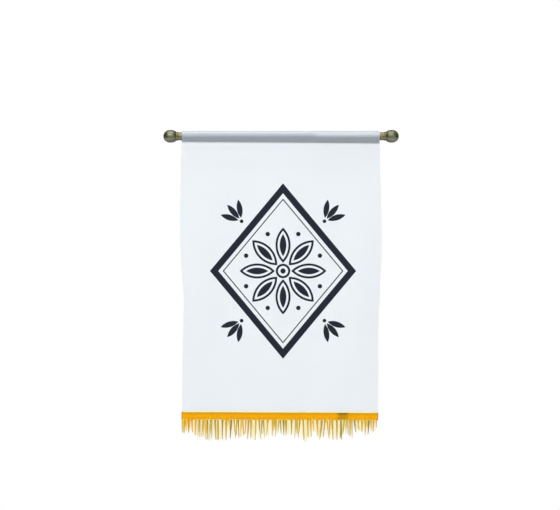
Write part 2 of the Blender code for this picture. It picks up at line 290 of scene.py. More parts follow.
class Effects:
    """The shader groups that the finishes share, each built once."""

    thread_dip: float = 0.45
    gap_width: float = 0.35
    mottle_detail: float = 3.0
    mottle_roughness: float = 0.55
    ply_slant: tuple[float, float] = (1.4, 0.7)
    fibre_stretch: float = 4.0
    fibre_scale: float = 900.0
    ply_share: float = 0.8
    fibre_share: float = 0.4
    smudge_scale: float = 260.0
    spot_scale: float = 620.0
    spot_edge: tuple[float, float] = (0.50, 0.72)

    def __init__(self) -> None:
        """Build every group."""
        self.weave = self._weave()
        self.mottle = self._mottle()
        self.twist = self._twist()
        self.handling = self._handling()

    def _weave(self) -> bpy.types.NodeTree:
        """Plain weave: threads over and under by turns.

        Returns:
            A group that takes a place on the cloth and a thread pitch.
        """
        group = Group(
            "plain_weave", "ShaderNodeTree",
            (SocketRow("Place", VECTOR), SocketRow("Pitch", default=0.5 * MM)),
            (SocketRow("Height"), SocketRow("Gap")),
        )
        across, _, down = split(group.tree, group["Place"])
        u = across / group["Pitch"]
        v = down / group["Pitch"]
        warp = abs((u * math.pi).apply("SINE"))
        weft = abs((v * math.pi).apply("SINE"))
        turn = (u.apply("FLOOR") + v.apply("FLOOR")) * 0.5
        over = turn.apply("FRACT") * 2.0
        warp_up = warp * (weft * self.thread_dip + (1.0 - self.thread_dip))
        weft_up = weft * (warp * self.thread_dip + (1.0 - self.thread_dip))
        height = warp_up * over + weft_up * (over * -1.0 + 1.0)
        gap = warp.least(weft).ramp(0.0, self.gap_width, 1.0, 0.0)
        return group.give(Height=height, Gap=gap)

    def _mottle(self) -> bpy.types.NodeTree:
        """Soft unevenness of tone, centred on nothing.

        Returns:
            A group that takes a place, the size of a patch and how strong it is.
        """
        group = Group(
            "soft_mottle", "ShaderNodeTree",
            (
                SocketRow("Place", VECTOR),
                SocketRow("Patches", default=60.0),
                SocketRow("Strength", default=0.1),
            ),
            (SocketRow("Tone"),),
        )
        noise = add_node(
            group.tree, "ShaderNodeTexNoise",
            {
                "Vector": group["Place"],
                "Scale": group["Patches"],
                "Detail": self.mottle_detail,
                "Roughness": self.mottle_roughness,
            },
        )
        tone = (Field(group.tree, noise.outputs[0]) - 0.5) * group["Strength"]
        return group.give(Tone=tone)

    def _twist(self) -> bpy.types.NodeTree:
        """The slanting plies of a twisted yarn, with loose fibres.

        Returns:
            A group that takes a place and the length of one turn.
        """
        group = Group(
            "yarn_twist", "ShaderNodeTree",
            (SocketRow("Place", VECTOR), SocketRow("Turn", default=1.2 * MM)),
            (SocketRow("Height"), SocketRow("Fibre")),
        )
        across, depth, down = split(group.tree, group["Place"])
        slant_across, slant_depth = self.ply_slant
        slanted = down + across * slant_across + depth * slant_depth
        phase = slanted / group["Turn"] * (2.0 * math.pi)
        ply = phase.apply("SINE") * 0.5 + 0.5
        drawn = join(group.tree, across * self.fibre_stretch, depth * self.fibre_stretch, down)
        fibre = add_node(
            group.tree, "ShaderNodeTexNoise",
            {"Vector": drawn, "Scale": self.fibre_scale, "Detail": 2.0, "Roughness": 0.6},
        )
        fibre_tone = Field(group.tree, fibre.outputs[0])
        return group.give(Height=ply * self.ply_share + fibre_tone * self.fibre_share, Fibre=fibre_tone)

    def _handling(self) -> bpy.types.NodeTree:
        """Fine turning marks, smudges and dark spots on handled metal.

        Returns:
            A group that takes a place and gives turning marks, smudges and tarnish.
        """
        group = Group(
            "handled_metal", "ShaderNodeTree",
            (SocketRow("Place", VECTOR), SocketRow("Marks", default=9000.0)),
            (SocketRow("Turning"), SocketRow("Smudge"), SocketRow("Tarnish")),
        )
        tree = group.tree
        along, depth, height = split(tree, group["Place"])
        radius = (depth * depth + height * height).apply("SQRT")
        ringed = join(tree, along, radius, 0.0)
        turning = add_node(
            tree, "ShaderNodeTexNoise", {"Vector": ringed, "Scale": group["Marks"], "Detail": 1.0}
        )
        smudge = add_node(
            tree, "ShaderNodeTexNoise",
            {"Vector": group["Place"], "Scale": self.smudge_scale, "Detail": 4.0},
        )
        spots = add_node(
            tree, "ShaderNodeTexNoise",
            {"Vector": group["Place"], "Scale": self.spot_scale, "Detail": 5.0, "Roughness": 0.7},
        )
        return group.give(
            Turning=Field(tree, turning.outputs[0]),
            Smudge=Field(tree, smudge.outputs[0]),
            Tarnish=Field(tree, spots.outputs[0]).ramp(*self.spot_edge),
        )


# ========================================================================== ornament
@dataclass(frozen=True)
class Leaf:
    """A pointed oval, given by its middle and its half sizes in millimetres."""

    middle: float
    half_length: float
    half_width: float

    def distance(self, along: Field, aside: Field) -> Field:
        """Signed distance to the leaf's edge, aside being without sign.

        Args:
            along: the place along the leaf.
            aside: the place across it, without sign.

        Returns:
            The distance, below 0 inside.
        """
        arc = (self.half_length ** 2 + self.half_width ** 2) / (2.0 * self.half_width)
        dx = along - self.middle
        dy = aside + (arc - self.half_width)
        return (dx * dx + dy * dy).apply("SQRT") - arc


@dataclass(frozen=True)
class Ornament:
    """The navy print: an eight-petalled flower in a double lozenge with leaf sprigs.

    Sizes are in millimetres about the print's middle.
    """

    petals: int = 8
    petal: Leaf = Leaf(middle=26.5, half_length=16.5, half_width=6.6)
    petal_line: float = 2.2
    petal_heart: float = 3.2
    bead_ring: float = 41.0
    bead_radius: float = 2.3
    eye_ring: float = 6.3
    eye_line: float = 2.3
    eye_dot: float = 2.7
    lozenge_half_width: float = 75.0
    lozenge_half_height: float = 90.0
    lozenge_band: float = 6.6
    lozenge_line_inset: float = 10.6
    lozenge_line: float = 1.1
    sprig_root: tuple[float, float] = (42.5, 51.0)
    sprig_leaf: Leaf = Leaf(middle=13.0, half_length=9.5, half_width=2.9)
    sprig_angles: tuple[float, ...] = (17.0, 49.0, 81.0)
    sprig_dot: float = 1.9
    edge_softness: float = 0.12

    def group(self) -> bpy.types.NodeTree:
        """Build the print as a shader group.

        Returns:
            A group from a place on the cloth, in millimetres, to where ink lies.
        """
        made = Group("flower_print", "ShaderNodeTree", (SocketRow("Place", VECTOR),), (SocketRow("Ink"),))
        x, _, y = split(made.tree, made["Place"])
        marks = [*self._flower(x, y), *self._lozenge(abs(x), abs(y)), *self._sprig(abs(x), abs(y))]
        nearest = marks[0]
        for mark in marks[1:]:
            nearest = nearest.least(mark)
        return made.give(Ink=nearest.ramp(-self.edge_softness, self.edge_softness, 1.0, 0.0))

    def _flower(self, x: Field, y: Field) -> list[Field]:
        """Petals, the beads between them and the eye.

        Args:
            x: the place across.
            y: the place up.

        Returns:
            A signed distance for each mark.
        """
        radius = (x * x + y * y).apply("SQRT")
        half_turn = math.pi / self.petals
        angle = y.apply("ARCTAN2", x).apply("PINGPONG", half_turn)
        along = radius * angle.apply("COSINE")
        aside = radius * angle.apply("SINE")
        petal = self.petal.distance(along, aside)
        bead_x = along - self.bead_ring * math.cos(half_turn)
        bead_y = aside - self.bead_ring * math.sin(half_turn)
        return [
            abs(petal) - self.petal_line / 2,
            petal + self.petal_heart,
            (bead_x * bead_x + bead_y * bead_y).apply("SQRT") - self.bead_radius,
            abs(radius - self.eye_ring) - self.eye_line / 2,
            radius - self.eye_dot,
        ]

    def _lozenge(self, x: Field, y: Field) -> list[Field]:
        """The broad and the narrow line of the lozenge.

        Args:
            x: the place across, without sign.
            y: the place up, without sign.

        Returns:
            A signed distance for each line.
        """
        diagonal = math.hypot(self.lozenge_half_width, self.lozenge_half_height)
        near = self.lozenge_half_width * self.lozenge_half_height / diagonal
        edge = (x / self.lozenge_half_width + y / self.lozenge_half_height - 1.0) * near
        return [
            abs(edge + self.lozenge_band / 2) - self.lozenge_band / 2,
            abs(edge + self.lozenge_line_inset) - self.lozenge_line / 2,
        ]

    def _sprig(self, x: Field, y: Field) -> list[Field]:
        """Three leaves fanned from a dot, in each corner outside the lozenge.

        Args:
            x: the place across, without sign.
            y: the place up, without sign.

        Returns:
            A signed distance for each mark.
        """
        dx = x - self.sprig_root[0]
        dy = y - self.sprig_root[1]
        marks = [(dx * dx + dy * dy).apply("SQRT") - self.sprig_dot]
        for degrees in self.sprig_angles:
            cosine = math.cos(math.radians(degrees))
            sine = math.sin(math.radians(degrees))
            marks.append(self.sprig_leaf.distance(dx * cosine + dy * sine, abs(dy * cosine - dx * sine)))
        return marks


# ========================================================================== finishes
def principled(name: str) -> tuple[bpy.types.Material, bpy.types.NodeTree, bpy.types.Node]:
    """A new material with its tree and its Principled shader.

    Args:
        name: the material's name.

    Returns:
        The material, its tree and its shader.
    """
    made = bpy.data.materials.new(name)
    made.use_nodes = True
    return made, made.node_tree, made.node_tree.nodes["Principled BSDF"]


def object_place(tree: bpy.types.NodeTree) -> Field:
    """Place in the object's own metres."""
    return Field(tree, tree.nodes.new("ShaderNodeTexCoord").outputs["Object"])


def flat_place(tree: bpy.types.NodeTree) -> Field:
    """Place on the cloth as cut: metres across and down, from its flat map.

    Args:
        tree: the material's tree.

    Returns:
        The place as a vector, across in X and down in Z.
    """
    chart = add_node(tree, "ShaderNodeUVMap", uv_map=FLAT_MAP)
    across, down, _ = split(tree, Field(tree, chart.outputs[0]))
    return join(tree, across, 0.0, down)


def named_value(tree: bpy.types.NodeTree, name: str) -> Field:
    """A number that the piece's mesh holds under a name."""
    node = add_node(tree, "ShaderNodeAttribute", attribute_name=name)
    return Field(tree, node.outputs["Fac"])


def raise_surface(
    tree: bpy.types.NodeTree, shader: bpy.types.Node, height: Field, depth: float, strength: float
) -> None:
    """Bump the shader's normal by a height.

    Args:
        tree: the material's tree.
        shader: its Principled shader.
        height: the height, 0 to 1.
        depth: how far 1 stands out, in metres.
        strength: the bump's strength.
    """
    bump = add_node(tree, "ShaderNodeBump", {"Height": height, "Distance": depth, "Strength": strength})
    attach(tree, shader.inputs["Normal"], bump.outputs[0])


def shade_of(tree: bpy.types.NodeTree, colour: Any, tone: Field) -> Field:
    """Lighten or darken a colour by a tone that is centred on nothing.

    Args:
        tree: the material's tree.
        colour: a Field or an sRGB triple.
        tone: how much lighter, as a share.

    Returns:
        The shaded colour.
    """
    held = colour if isinstance(colour, Field) else blend_colour(tree, 0.0, colour, colour)
    node = add_node(tree, "ShaderNodeVectorMath", operation="SCALE")
    attach(tree, node.inputs[0], held)
    attach(tree, node.inputs["Scale"], tone + 1.0)
    return Field(tree, node.outputs[0])


FLAT_MAP = "flat"
PRINTED = "printed"
TONE = "tone"
ALONG = "along"


class Ramp(NamedTuple):
    """A soft step between two places or values, and what it leads from and to."""

    low: float
    high: float
    to_low: float = 0.0
    to_high: float = 1.0


class Mottling(NamedTuple):
    """Unevenness of tone: how finely patched it is and how strong."""

    patches: float
    strength: float


def mottled(tree: bpy.types.NodeTree, effects: Effects, place: Field, kind: Mottling) -> Field:
    """Unevenness of tone at a place, centred on nothing.

    Args:
        tree: the material's tree.
        effects: the shared groups.
        place: where on the surface.
        kind: how fine and how strong.

    Returns:
        The tone.
    """
    inputs = {"Place": place, "Patches": kind.patches, "Strength": kind.strength}
    return use_group(tree, effects.mottle, inputs)["Tone"]


@dataclass(frozen=True)
class PanelCloth:
    """Matt white woven cloth with a navy print on its front, and painted light that brightens it just
    below the heading, against the heading's shadow.
    """

    effects: Effects
    print_middle: tuple[float, float]
    ornament: Ornament = Ornament()
    white: Colour = (0.907, 0.928, 0.943)
    navy: Colour = (0.040, 0.075, 0.145)
    pitch: float = 0.55 * MM
    cloud: Mottling = Mottling(35.0, 0.02)
    slub: Mottling = Mottling(900.0, 0.03)
    # painted light: how much brighter the cloth is painted over its top, where the heading's shadow falls
    heading_shadow_fill: tuple[Ramp, Ramp] = (
        Ramp(-30.0 * MM, -7.0 * MM, 0.0, 0.06),
        Ramp(-12.5 * MM, -7.5 * MM, 0.0, 0.06),
    )
    gap_shade: float = 0.03
    ink_in_gaps: float = 0.25
    ink_on_slubs: float = 4.0
    bare_roughness: float = 0.85
    ink_smoothing: float = 0.25
    weave_depth: float = 0.06 * MM

    def make(self) -> bpy.types.Material:
        """Build the material.

        Returns:
            The material.
        """
        made, tree, shader = principled("panel_cloth")
        place = flat_place(tree)
        across, _, down = split(tree, place)
        print_x = (across - self.print_middle[0]) / MM
        print_z = (down - self.print_middle[1]) / MM
        ink = use_group(tree, self.ornament.group(), {"Place": join(tree, print_x, 0.0, print_z)})["Ink"]
        ink = ink * named_value(tree, PRINTED)
        weave = use_group(tree, self.effects.weave, {"Place": place, "Pitch": self.pitch})
        cloud = mottled(tree, self.effects, place, self.cloud)
        slub = mottled(tree, self.effects, place, self.slub)
        wide, narrow = self.heading_shadow_fill
        # painted light: brighter over the top few centimetres, which cancels the shadow that the heading
        # casts there
        shadow_fill = down.ramp(*wide) + down.ramp(*narrow)
        ground = shade_of(tree, self.white, cloud + slub - weave["Gap"] * self.gap_shade + shadow_fill)
        inked = shade_of(tree, self.navy, weave["Gap"] * self.ink_in_gaps + slub * self.ink_on_slubs)
        attach(tree, shader.inputs["Base Color"], blend_colour(tree, ink, ground, inked))
        attach(tree, shader.inputs["Roughness"], ink * -self.ink_smoothing + self.bare_roughness)
        shader.inputs["Sheen Weight"].default_value = 0.08
        shader.inputs["Sheen Roughness"].default_value = 0.5
        shader.inputs["Specular IOR Level"].default_value = 0.25
        raise_surface(tree, shader, weave["Height"], self.weave_depth, strength=0.35)
        return made


@dataclass(frozen=True)
class Satin:
    """Silver-grey satin: long floats along the rod that catch the light."""

    effects: Effects
    silver: Colour = (0.585, 0.610, 0.642)
    cool: Colour = (0.553, 0.584, 0.622)
    pitch: float = 0.35 * MM
    streaks: Mottling = Mottling(260.0, 0.10)
    clouds: Mottling = Mottling(40.0, 0.9)
    drawn_across: float = 0.35
    drawn_down: float = 3.0
    roughness: float = 0.50
    streak_roughness: float = 0.6
    weave_share: float = 0.4
    streak_share: float = 4.0
    float_depth: float = 0.05 * MM

    def make(self) -> bpy.types.Material:
        """Build the material.

        Returns:
            The material.
        """
        made, tree, shader = principled("heading_satin")
        place = flat_place(tree)
        across, _, down = split(tree, place)
        drawn = join(tree, across * self.drawn_across, 0.0, down * self.drawn_down)
        streak = mottled(tree, self.effects, drawn, self.streaks)
        cloud = mottled(tree, self.effects, place, self.clouds)
        weave = use_group(tree, self.effects.weave, {"Place": place, "Pitch": self.pitch})
        tint = blend_colour(tree, cloud + 0.5, self.silver, self.cool)
        attach(tree, shader.inputs["Base Color"], shade_of(tree, tint, streak))
        attach(tree, shader.inputs["Roughness"], streak * self.streak_roughness + self.roughness)
        shader.inputs["Metallic"].default_value = 0.28
        shader.inputs["Specular IOR Level"].default_value = 1.0
        shader.inputs["Specular Tint"].default_value = linear((1.0, 0.97, 0.93))
        shader.inputs["Sheen Weight"].default_value = 0.15
        shader.inputs["Sheen Roughness"].default_value = 0.35
        height = weave["Height"] * self.weave_share + streak * self.streak_share
        raise_surface(tree, shader, height, self.float_depth, strength=0.3)
        return made


@dataclass(frozen=True)
class GoldYarn:
    """Golden yarn and braid, each thread in its own tone, with a darker olive-brown patch across the tape,
    darkest near its top.
    """

    effects: Effects
    name: str = "fringe_gold"
    deep: Colour = (0.58, 0.51, 0.21)
    olive: Colour = (0.85, 0.685, 0.11)
    gold: Colour = (0.98, 0.69, 0.02)
    pale: Colour = (1.0, 0.97, 0.46)
    cream: Colour = (1.0, 0.97, 0.74)
    dark_patch: Colour = (0.42, 0.36, 0.05)
    to_olive: Ramp = Ramp(0.05, 0.50)
    to_gold: Ramp = Ramp(0.40, 0.80)
    to_pale: Ramp = Ramp(0.88, 1.0)
    to_cream: Ramp = Ramp(1.2, 1.3)
    fading: Ramp = Ramp(0.25, 1.0, 0.0, 0.18)
    # where the darker olive-brown patch lies across the tape
    patch_middle: float = 63.2 * MM
    patch_half_width: float = 8.0 * MM
    patch_core: float = 0.3
    patch_upper: Ramp = Ramp(-286.6 * MM, -284.6 * MM, 0.42, 0.8)
    patch_lower: Ramp = Ramp(-291.5 * MM, -290.0 * MM)
    clouds: Mottling = Mottling(120.0, 0.5)
    shading: float = 0.35
    mean_twist: float = 0.6
    roughness: float = 0.38
    fibre_roughness: float = 0.25
    ply_depth: float = 0.10 * MM

    def make(self) -> bpy.types.Material:
        """Build the material.

        Returns:
            The material.
        """
        made, tree, shader = principled(self.name)
        place = object_place(tree)
        across, _, height = split(tree, place)
        twist = use_group(tree, self.effects.twist, {"Place": place})
        cloud = mottled(tree, self.effects, place, self.clouds)
        tone = named_value(tree, TONE)
        body = blend_colour(tree, tone.ramp(*self.to_olive), self.deep, self.olive)
        body = blend_colour(tree, tone.ramp(*self.to_gold), body, self.gold)
        body = blend_colour(tree, tone.ramp(*self.to_pale), body, self.pale)
        faded = named_value(tree, ALONG).ramp(*self.fading)
        body = blend_colour(tree, faded, body, self.pale)
        # a darker olive-brown patch across the tape near x = 63 mm, darkest near the tape's top edge
        from_patch = abs(across - self.patch_middle)
        in_patch = from_patch.ramp(self.patch_half_width * self.patch_core, self.patch_half_width, 1.0, 0.0)
        on_tape = height.ramp(*self.patch_upper) * height.ramp(*self.patch_lower)
        body = blend_colour(tree, in_patch * on_tape, body, self.dark_patch)
        body = blend_colour(tree, tone.ramp(*self.to_cream), body, self.cream)
        shaded = cloud * self.shading + (twist["Height"] - self.mean_twist) * self.shading
        attach(tree, shader.inputs["Base Color"], shade_of(tree, body, shaded))
        attach(tree, shader.inputs["Roughness"], twist["Fibre"] * self.fibre_roughness + self.roughness)
        shader.inputs["Specular IOR Level"].default_value = 0.3
        shader.inputs["Specular Tint"].default_value = linear((1.0, 0.82, 0.40))
        raise_surface(tree, shader, twist["Height"], self.ply_depth, strength=0.5)
        return made


@dataclass(frozen=True)
class Thread:
    """Sewing thread of one colour."""

    effects: Effects
    name: str
    colour: Colour
    roughness: float = 0.45
    fibre_roughness: float = 0.2
    turn: float = 0.5 * MM
    shading: float = 0.25
    mean_twist: float = 0.6
    ply_depth: float = 0.04 * MM

    def make(self) -> bpy.types.Material:
        """Build the material.

        Returns:
            The material.
        """
        made, tree, shader = principled(self.name)
        twist = use_group(tree, self.effects.twist, {"Place": object_place(tree), "Turn": self.turn})
        tone = (twist["Height"] - self.mean_twist) * self.shading
        attach(tree, shader.inputs["Base Color"], shade_of(tree, self.colour, tone))
        attach(tree, shader.inputs["Roughness"], twist["Fibre"] * self.fibre_roughness + self.roughness)
        raise_surface(tree, shader, twist["Height"], self.ply_depth, strength=0.5)
        return made


@dataclass(frozen=True)
class AntiqueBrass:
    """Turned brass: dull gold on the collar, grey olive over the ball, painted with light and shade.

    Places along the rod count from where the ball leaves its collar. A plain bar keeps the
    default face, which lies far past its end, and so is coloured alike all along, mostly in the pale of
    the painted light.
    """

    effects: Effects
    name: str
    collar: Colour = (0.47, 0.44, 0.27)
    # pale colour painted as light on the collar's face beside the heading, against the shade in the gap
    face_light: Colour = (0.82, 0.79, 0.66)
    ball: Colour = (0.44, 0.46, 0.34)
    # grey painted as a reflection over the underside
    underside_reflection: Colour = (0.52, 0.51, 0.48)
    # the dark of the painted shade, and of tarnish and smudges
    dark: Colour = (0.25, 0.24, 0.22)
    face: float = 1.0
    neck_length: float = 6.0 * MM
    ball_length: float = 12.8 * MM
    to_ball: Ramp = Ramp(-0.8 * MM, 0.8 * MM)
    off_collar: Ramp = Ramp(-0.8 * MM, 0.8 * MM, 1.0, 0.0)
    face_light_from: float = 0.2 * MM
    face_light_to: float = 1.6 * MM
    face_light_share: float = 0.8
    # where the painted reflection (underside) and the painted shade (crown, keel, neck, pole, shoulder)
    # lie
    underside: Ramp = Ramp(-4.0 * MM, 0.5 * MM, 0.7, 0.0)
    crown: Ramp = Ramp(2.3 * MM, 5.4 * MM, 0.0, 0.88)
    keel: Ramp = Ramp(-6.4 * MM, -2.5 * MM, 0.5, 0.0)
    neck: Ramp = Ramp(1.2 * MM, 4.0 * MM, 0.0, 0.55)
    pole_width: float = 3.0 * MM
    pole_share: float = 0.15
    shoulder: Ramp = Ramp(0.6 * MM, 6.6 * MM, 0.15, 0.0)
    shoulder_start: Ramp = Ramp(-0.8 * MM, 0.6 * MM)
    spot_share: float = 0.3
    smudge: Ramp = Ramp(0.45, 0.75)
    smudge_share: float = 0.2
    roughness: float = 0.26
    smudge_roughness: float = 0.22
    spot_roughness: float = 0.15
    mark_depth: float = 0.02 * MM

    def make(self) -> bpy.types.Material:
        """Build the material.

        Returns:
            The material.
        """
        made, tree, shader = principled(self.name)
        place = object_place(tree)
        along, _, height = split(tree, place)
        marks = use_group(tree, self.effects.handling, {"Place": place})
        past = abs(along) - (self.face + self.neck_length)
        metal = blend_colour(tree, past.ramp(*self.to_ball), self.collar, self.ball)
        # painted light: paler over the collar's first ring by the heading, against the shade in the gap
        # there
        face_light_from = self.face_light_from - self.neck_length
        face_light_to = self.face_light_to - self.neck_length
        metal = blend_colour(tree, past.ramp(face_light_from, face_light_to, self.face_light_share, 0.0), metal, self.face_light)
        # painted reflection: greyer towards the bottom
        metal = blend_colour(tree, height.ramp(*self.underside), metal, self.underside_reflection)
        # painted shade: darker over the top and the bottom, along the collar's top and bottom, at the
        # ball's outer end and on its shoulder by the collar
        crown = height.ramp(*self.crown) + height.ramp(*self.keel)
        neck = past.ramp(*self.off_collar) * abs(height).ramp(*self.neck)
        pole = past.ramp(self.ball_length - self.pole_width, self.ball_length, 0.0, self.pole_share)
        shoulder = past.ramp(*self.shoulder) * past.ramp(*self.shoulder_start)
        # smudges and tarnish spots are the metal's own, blended into the same dark as the painted shade
        smudged = marks["Smudge"].ramp(*self.smudge) * self.smudge_share
        tarnish = marks["Tarnish"] * self.spot_share + smudged
        shade_and_tarnish = (crown + neck + pole + shoulder + tarnish).ramp(0.0, 1.0)
        metal = blend_colour(tree, shade_and_tarnish, metal, self.dark)
        attach(tree, shader.inputs["Base Color"], metal)
        worn = marks["Smudge"] * self.smudge_roughness + marks["Tarnish"] * self.spot_roughness
        attach(tree, shader.inputs["Roughness"], worn + self.roughness)
        shader.inputs["Metallic"].default_value = 1.0
        raise_surface(tree, shader, marks["Turning"], self.mark_depth, strength=0.25)
        return made


# ===================================================================== hung geometry
class EdgeRow(NamedTuple):
    """The panel's side edges at one height."""

    z: float
    left: float
    right: float


class FoldRow(NamedTuple):
    """A soft flute: where it starts and ends, how broad and how deep it is."""

    x_top: float
    x_bottom: float
    half_width: float
    depth: float


class ShareRow(NamedTuple):
    """How much of their depth the flutes have at one height."""

    z: float
    share: float


PANEL_EDGES = (
    EdgeRow(-290.0, -101.9, 99.9),
    EdgeRow(-245.0, -101.4, 100.0),
    EdgeRow(-215.0, -101.0, 100.0),
    EdgeRow(-190.0, -100.2, 100.3),
    EdgeRow(-168.0, -99.8, 101.3),
    EdgeRow(-140.0, -101.9, 102.2),
    EdgeRow(-122.0, -103.0, 103.6),
    EdgeRow(-92.0, -103.8, 103.3),
    EdgeRow(-60.0, -103.3, 102.5),
    EdgeRow(-30.0, -102.7, 101.6),
    EdgeRow(-4.0, -102.0, 101.2),
)
PANEL_FOLDS = (
    FoldRow(-104.0, -106.0, 11.0, 1.6),
    FoldRow(-82.0, -90.0, 18.0, -2.2),
    FoldRow(-44.0, -52.0, 20.0, 1.7),
    FoldRow(-6.0, -2.0, 25.0, -1.5),
    FoldRow(34.0, 40.0, 19.0, 1.4),
    FoldRow(72.0, 78.0, 19.0, -2.1),
    FoldRow(103.0, 102.0, 10.0, 1.8),
)
FOLD_GROWTH = (
    ShareRow(-292.0, 0.45),
    ShareRow(-240.0, 0.70),
    ShareRow(-178.0, 1.00),
    ShareRow(-120.0, 0.70),
    ShareRow(-60.0, 0.30),
    ShareRow(-20.0, 0.05),
    ShareRow(-4.0, 0.0),
)


class SoftCurve:
    """A soft curve through one column of a table."""

    def __init__(self, rows: Sequence[NamedTuple], place: str, value: str, scale: float = MM) -> None:
        """Read two named columns.

        Args:
            rows: the table, its places rising.
            place: the column of places, in millimetres.
            value: the column of values.
            scale: what the values are multiplied by.
        """
        self.knots = np.array([getattr(row, place) for row in rows]) * MM
        self.levels = np.array([getattr(row, value) for row in rows]) * scale
        self.slopes = np.gradient(self.levels, self.knots)

    def __call__(self, where: Any) -> np.ndarray:
        """The value at a place or at an array of places, flat beyond the table's ends.

        Args:
            where: one place or an array of places, in metres.

        Returns:
            The value at each.
        """
        where = np.asarray(where, dtype=float)
        span = np.clip(np.searchsorted(self.knots, where) - 1, 0, len(self.knots) - 2)
        width = self.knots[span + 1] - self.knots[span]
        t = np.clip((where - self.knots[span]) / width, 0.0, 1.0)
        ease = t * t * (3.0 - 2.0 * t)
        level = self.levels[span] * (1.0 - ease) + self.levels[span + 1] * ease
        leaving = self.slopes[span] * width * t * (1.0 - t) ** 2
        arriving = self.slopes[span + 1] * width * t * t * (1.0 - t)
        return level + leaving - arriving


def bell(distance: Any, half_width: float) -> np.ndarray:
    """A smooth hump: 1 in its middle, near 0 past twice its half width."""
    return np.exp(-(np.asarray(distance) / half_width) ** 2)


class HungShape:
    """The panel's outline and flutes as it hangs, the same as in the solids."""

    def __init__(self) -> None:
        """Read the tables."""
        low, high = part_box("banner_panel")
        self.top = high[2]
        self.bottom = low[2]
        self.left = SoftCurve(PANEL_EDGES, "z", "left")
        self.right = SoftCurve(PANEL_EDGES, "z", "right")
        self.growth = SoftCurve(FOLD_GROWTH, "z", "share", scale=1.0)

    def depth(self, x: Any, z: Any) -> np.ndarray:
        """How far the cloth's middle lies behind the rod's axis.

        Args:
            x: places across, in metres.
            z: their heights.

        Returns:
            The depth at each, in metres.
        """
        x = np.asarray(x, dtype=float)
        drop = (self.top - np.asarray(z)) / (self.top - self.bottom)
        total = np.zeros(np.broadcast(x, drop).shape)
        for row in PANEL_FOLDS:
            centre = row.x_top + (row.x_bottom - row.x_top) * drop
            total = total + row.depth * bell(x / MM - centre, row.half_width)
        return total * MM * self.growth(z)


# ======================================================================= mesh helpers
def closed_sheet(
    name: str, front: np.ndarray, back: np.ndarray, flat: np.ndarray, material: bpy.types.Material
) -> bpy.types.Object:
    """Close two matching grids of points into one thin sheet.

    Args:
        name: the piece's name.
        front: rows by columns by 3, the face that is seen from the front.
        back: the same for the other face.
        flat: rows by columns by 2, each point's place on the cloth as cut.
        material: the sheet's finish.

    Returns:
        The object, its faces pointing out, with its flat map and its printed face named.
    """
    rows, columns = front.shape[:2]
    points = np.concatenate((front.reshape(-1, 3), back.reshape(-1, 3)))
    index = np.arange(rows * columns).reshape(rows, columns)
    front_faces = np.stack((index[:-1, :-1], index[1:, :-1], index[1:, 1:], index[:-1, 1:]), axis=-1)
    back_faces = front_faces[..., ::-1] + rows * columns
    rim = [*index[0, :-1], *index[:-1, -1], *index[-1, :0:-1], *index[:0:-1, 0]]
    rim_faces = [
        (here, after, after + rows * columns, here + rows * columns)
        for here, after in zip(rim, rim[1:] + rim[:1])
    ]
    faces = [*front_faces.reshape(-1, 4).tolist(), *back_faces.reshape(-1, 4).tolist(), *rim_faces]
    mesh = bpy.data.meshes.new(name)
    mesh.from_pydata(points.tolist(), [], faces)
    corners = np.zeros(len(mesh.loops), dtype=np.int32)
    mesh.loops.foreach_get("vertex_index", corners)
    chart = mesh.uv_layers.new(name=FLAT_MAP)
    both = np.concatenate((flat.reshape(-1, 2), flat.reshape(-1, 2)))
    chart.data.foreach_set("uv", both[corners].astype(np.float32).ravel())
    printed = np.zeros(len(faces), dtype=np.float32)
    printed[: (rows - 1) * (columns - 1)] = 1.0
    mesh.attributes.new(PRINTED, "FLOAT", "FACE").data.foreach_set("value", printed)
    return finish_mesh(name, mesh, material, sharp_degrees=60.0)


def finish_mesh(
    name: str, mesh: bpy.types.Mesh, material: bpy.types.Material, sharp_degrees: float = 40.0
) -> bpy.types.Object:
    """Turn faces outwards, shade smooth and link an object at the origin.

    Args:
        name: the object's name.
        mesh: its closed mesh.
        material: its finish.
        sharp_degrees: the angle from which an edge stays sharp.

    Returns:
        The linked object.
    """
    work = bmesh.new()
    work.from_mesh(mesh)
    bmesh.ops.recalc_face_normals(work, faces=work.faces)
    work.to_mesh(mesh)
    work.free()
    mesh.shade_smooth()
    mesh.set_sharp_from_angle(angle=math.radians(sharp_degrees))
    mesh.materials.clear()
    mesh.materials.append(material)
    made = bpy.data.objects.new(name, mesh)
    bpy.context.scene.collection.objects.link(made)
    return made


def line_mesh(name: str, lines: Sequence[Sequence[Sequence[float]]]) -> bpy.types.Mesh:
    """A mesh of open lines, each a run of points.

    Args:
        name: the mesh's name.
        lines: the points of each line.

    Returns:
        The mesh, with vertices and edges alone.
    """
    points = [tuple(point) for line in lines for point in line]
    edges = []
    start = 0
    for line in lines:
        edges += [(start + step, start + step + 1) for step in range(len(line) - 1)]
        start += len(line)
    mesh = bpy.data.meshes.new(name)
    mesh.from_pydata(points, edges, [])
    return mesh


def name_values(mesh: bpy.types.Mesh, name: str, kind: str, values: np.ndarray) -> None:
    """Hold a value for each point of a mesh under a name."""
    held = mesh.attributes.new(name, kind, "POINT")
    held.data.foreach_set("vector" if kind == "FLOAT_VECTOR" else "value", np.asarray(values).ravel())


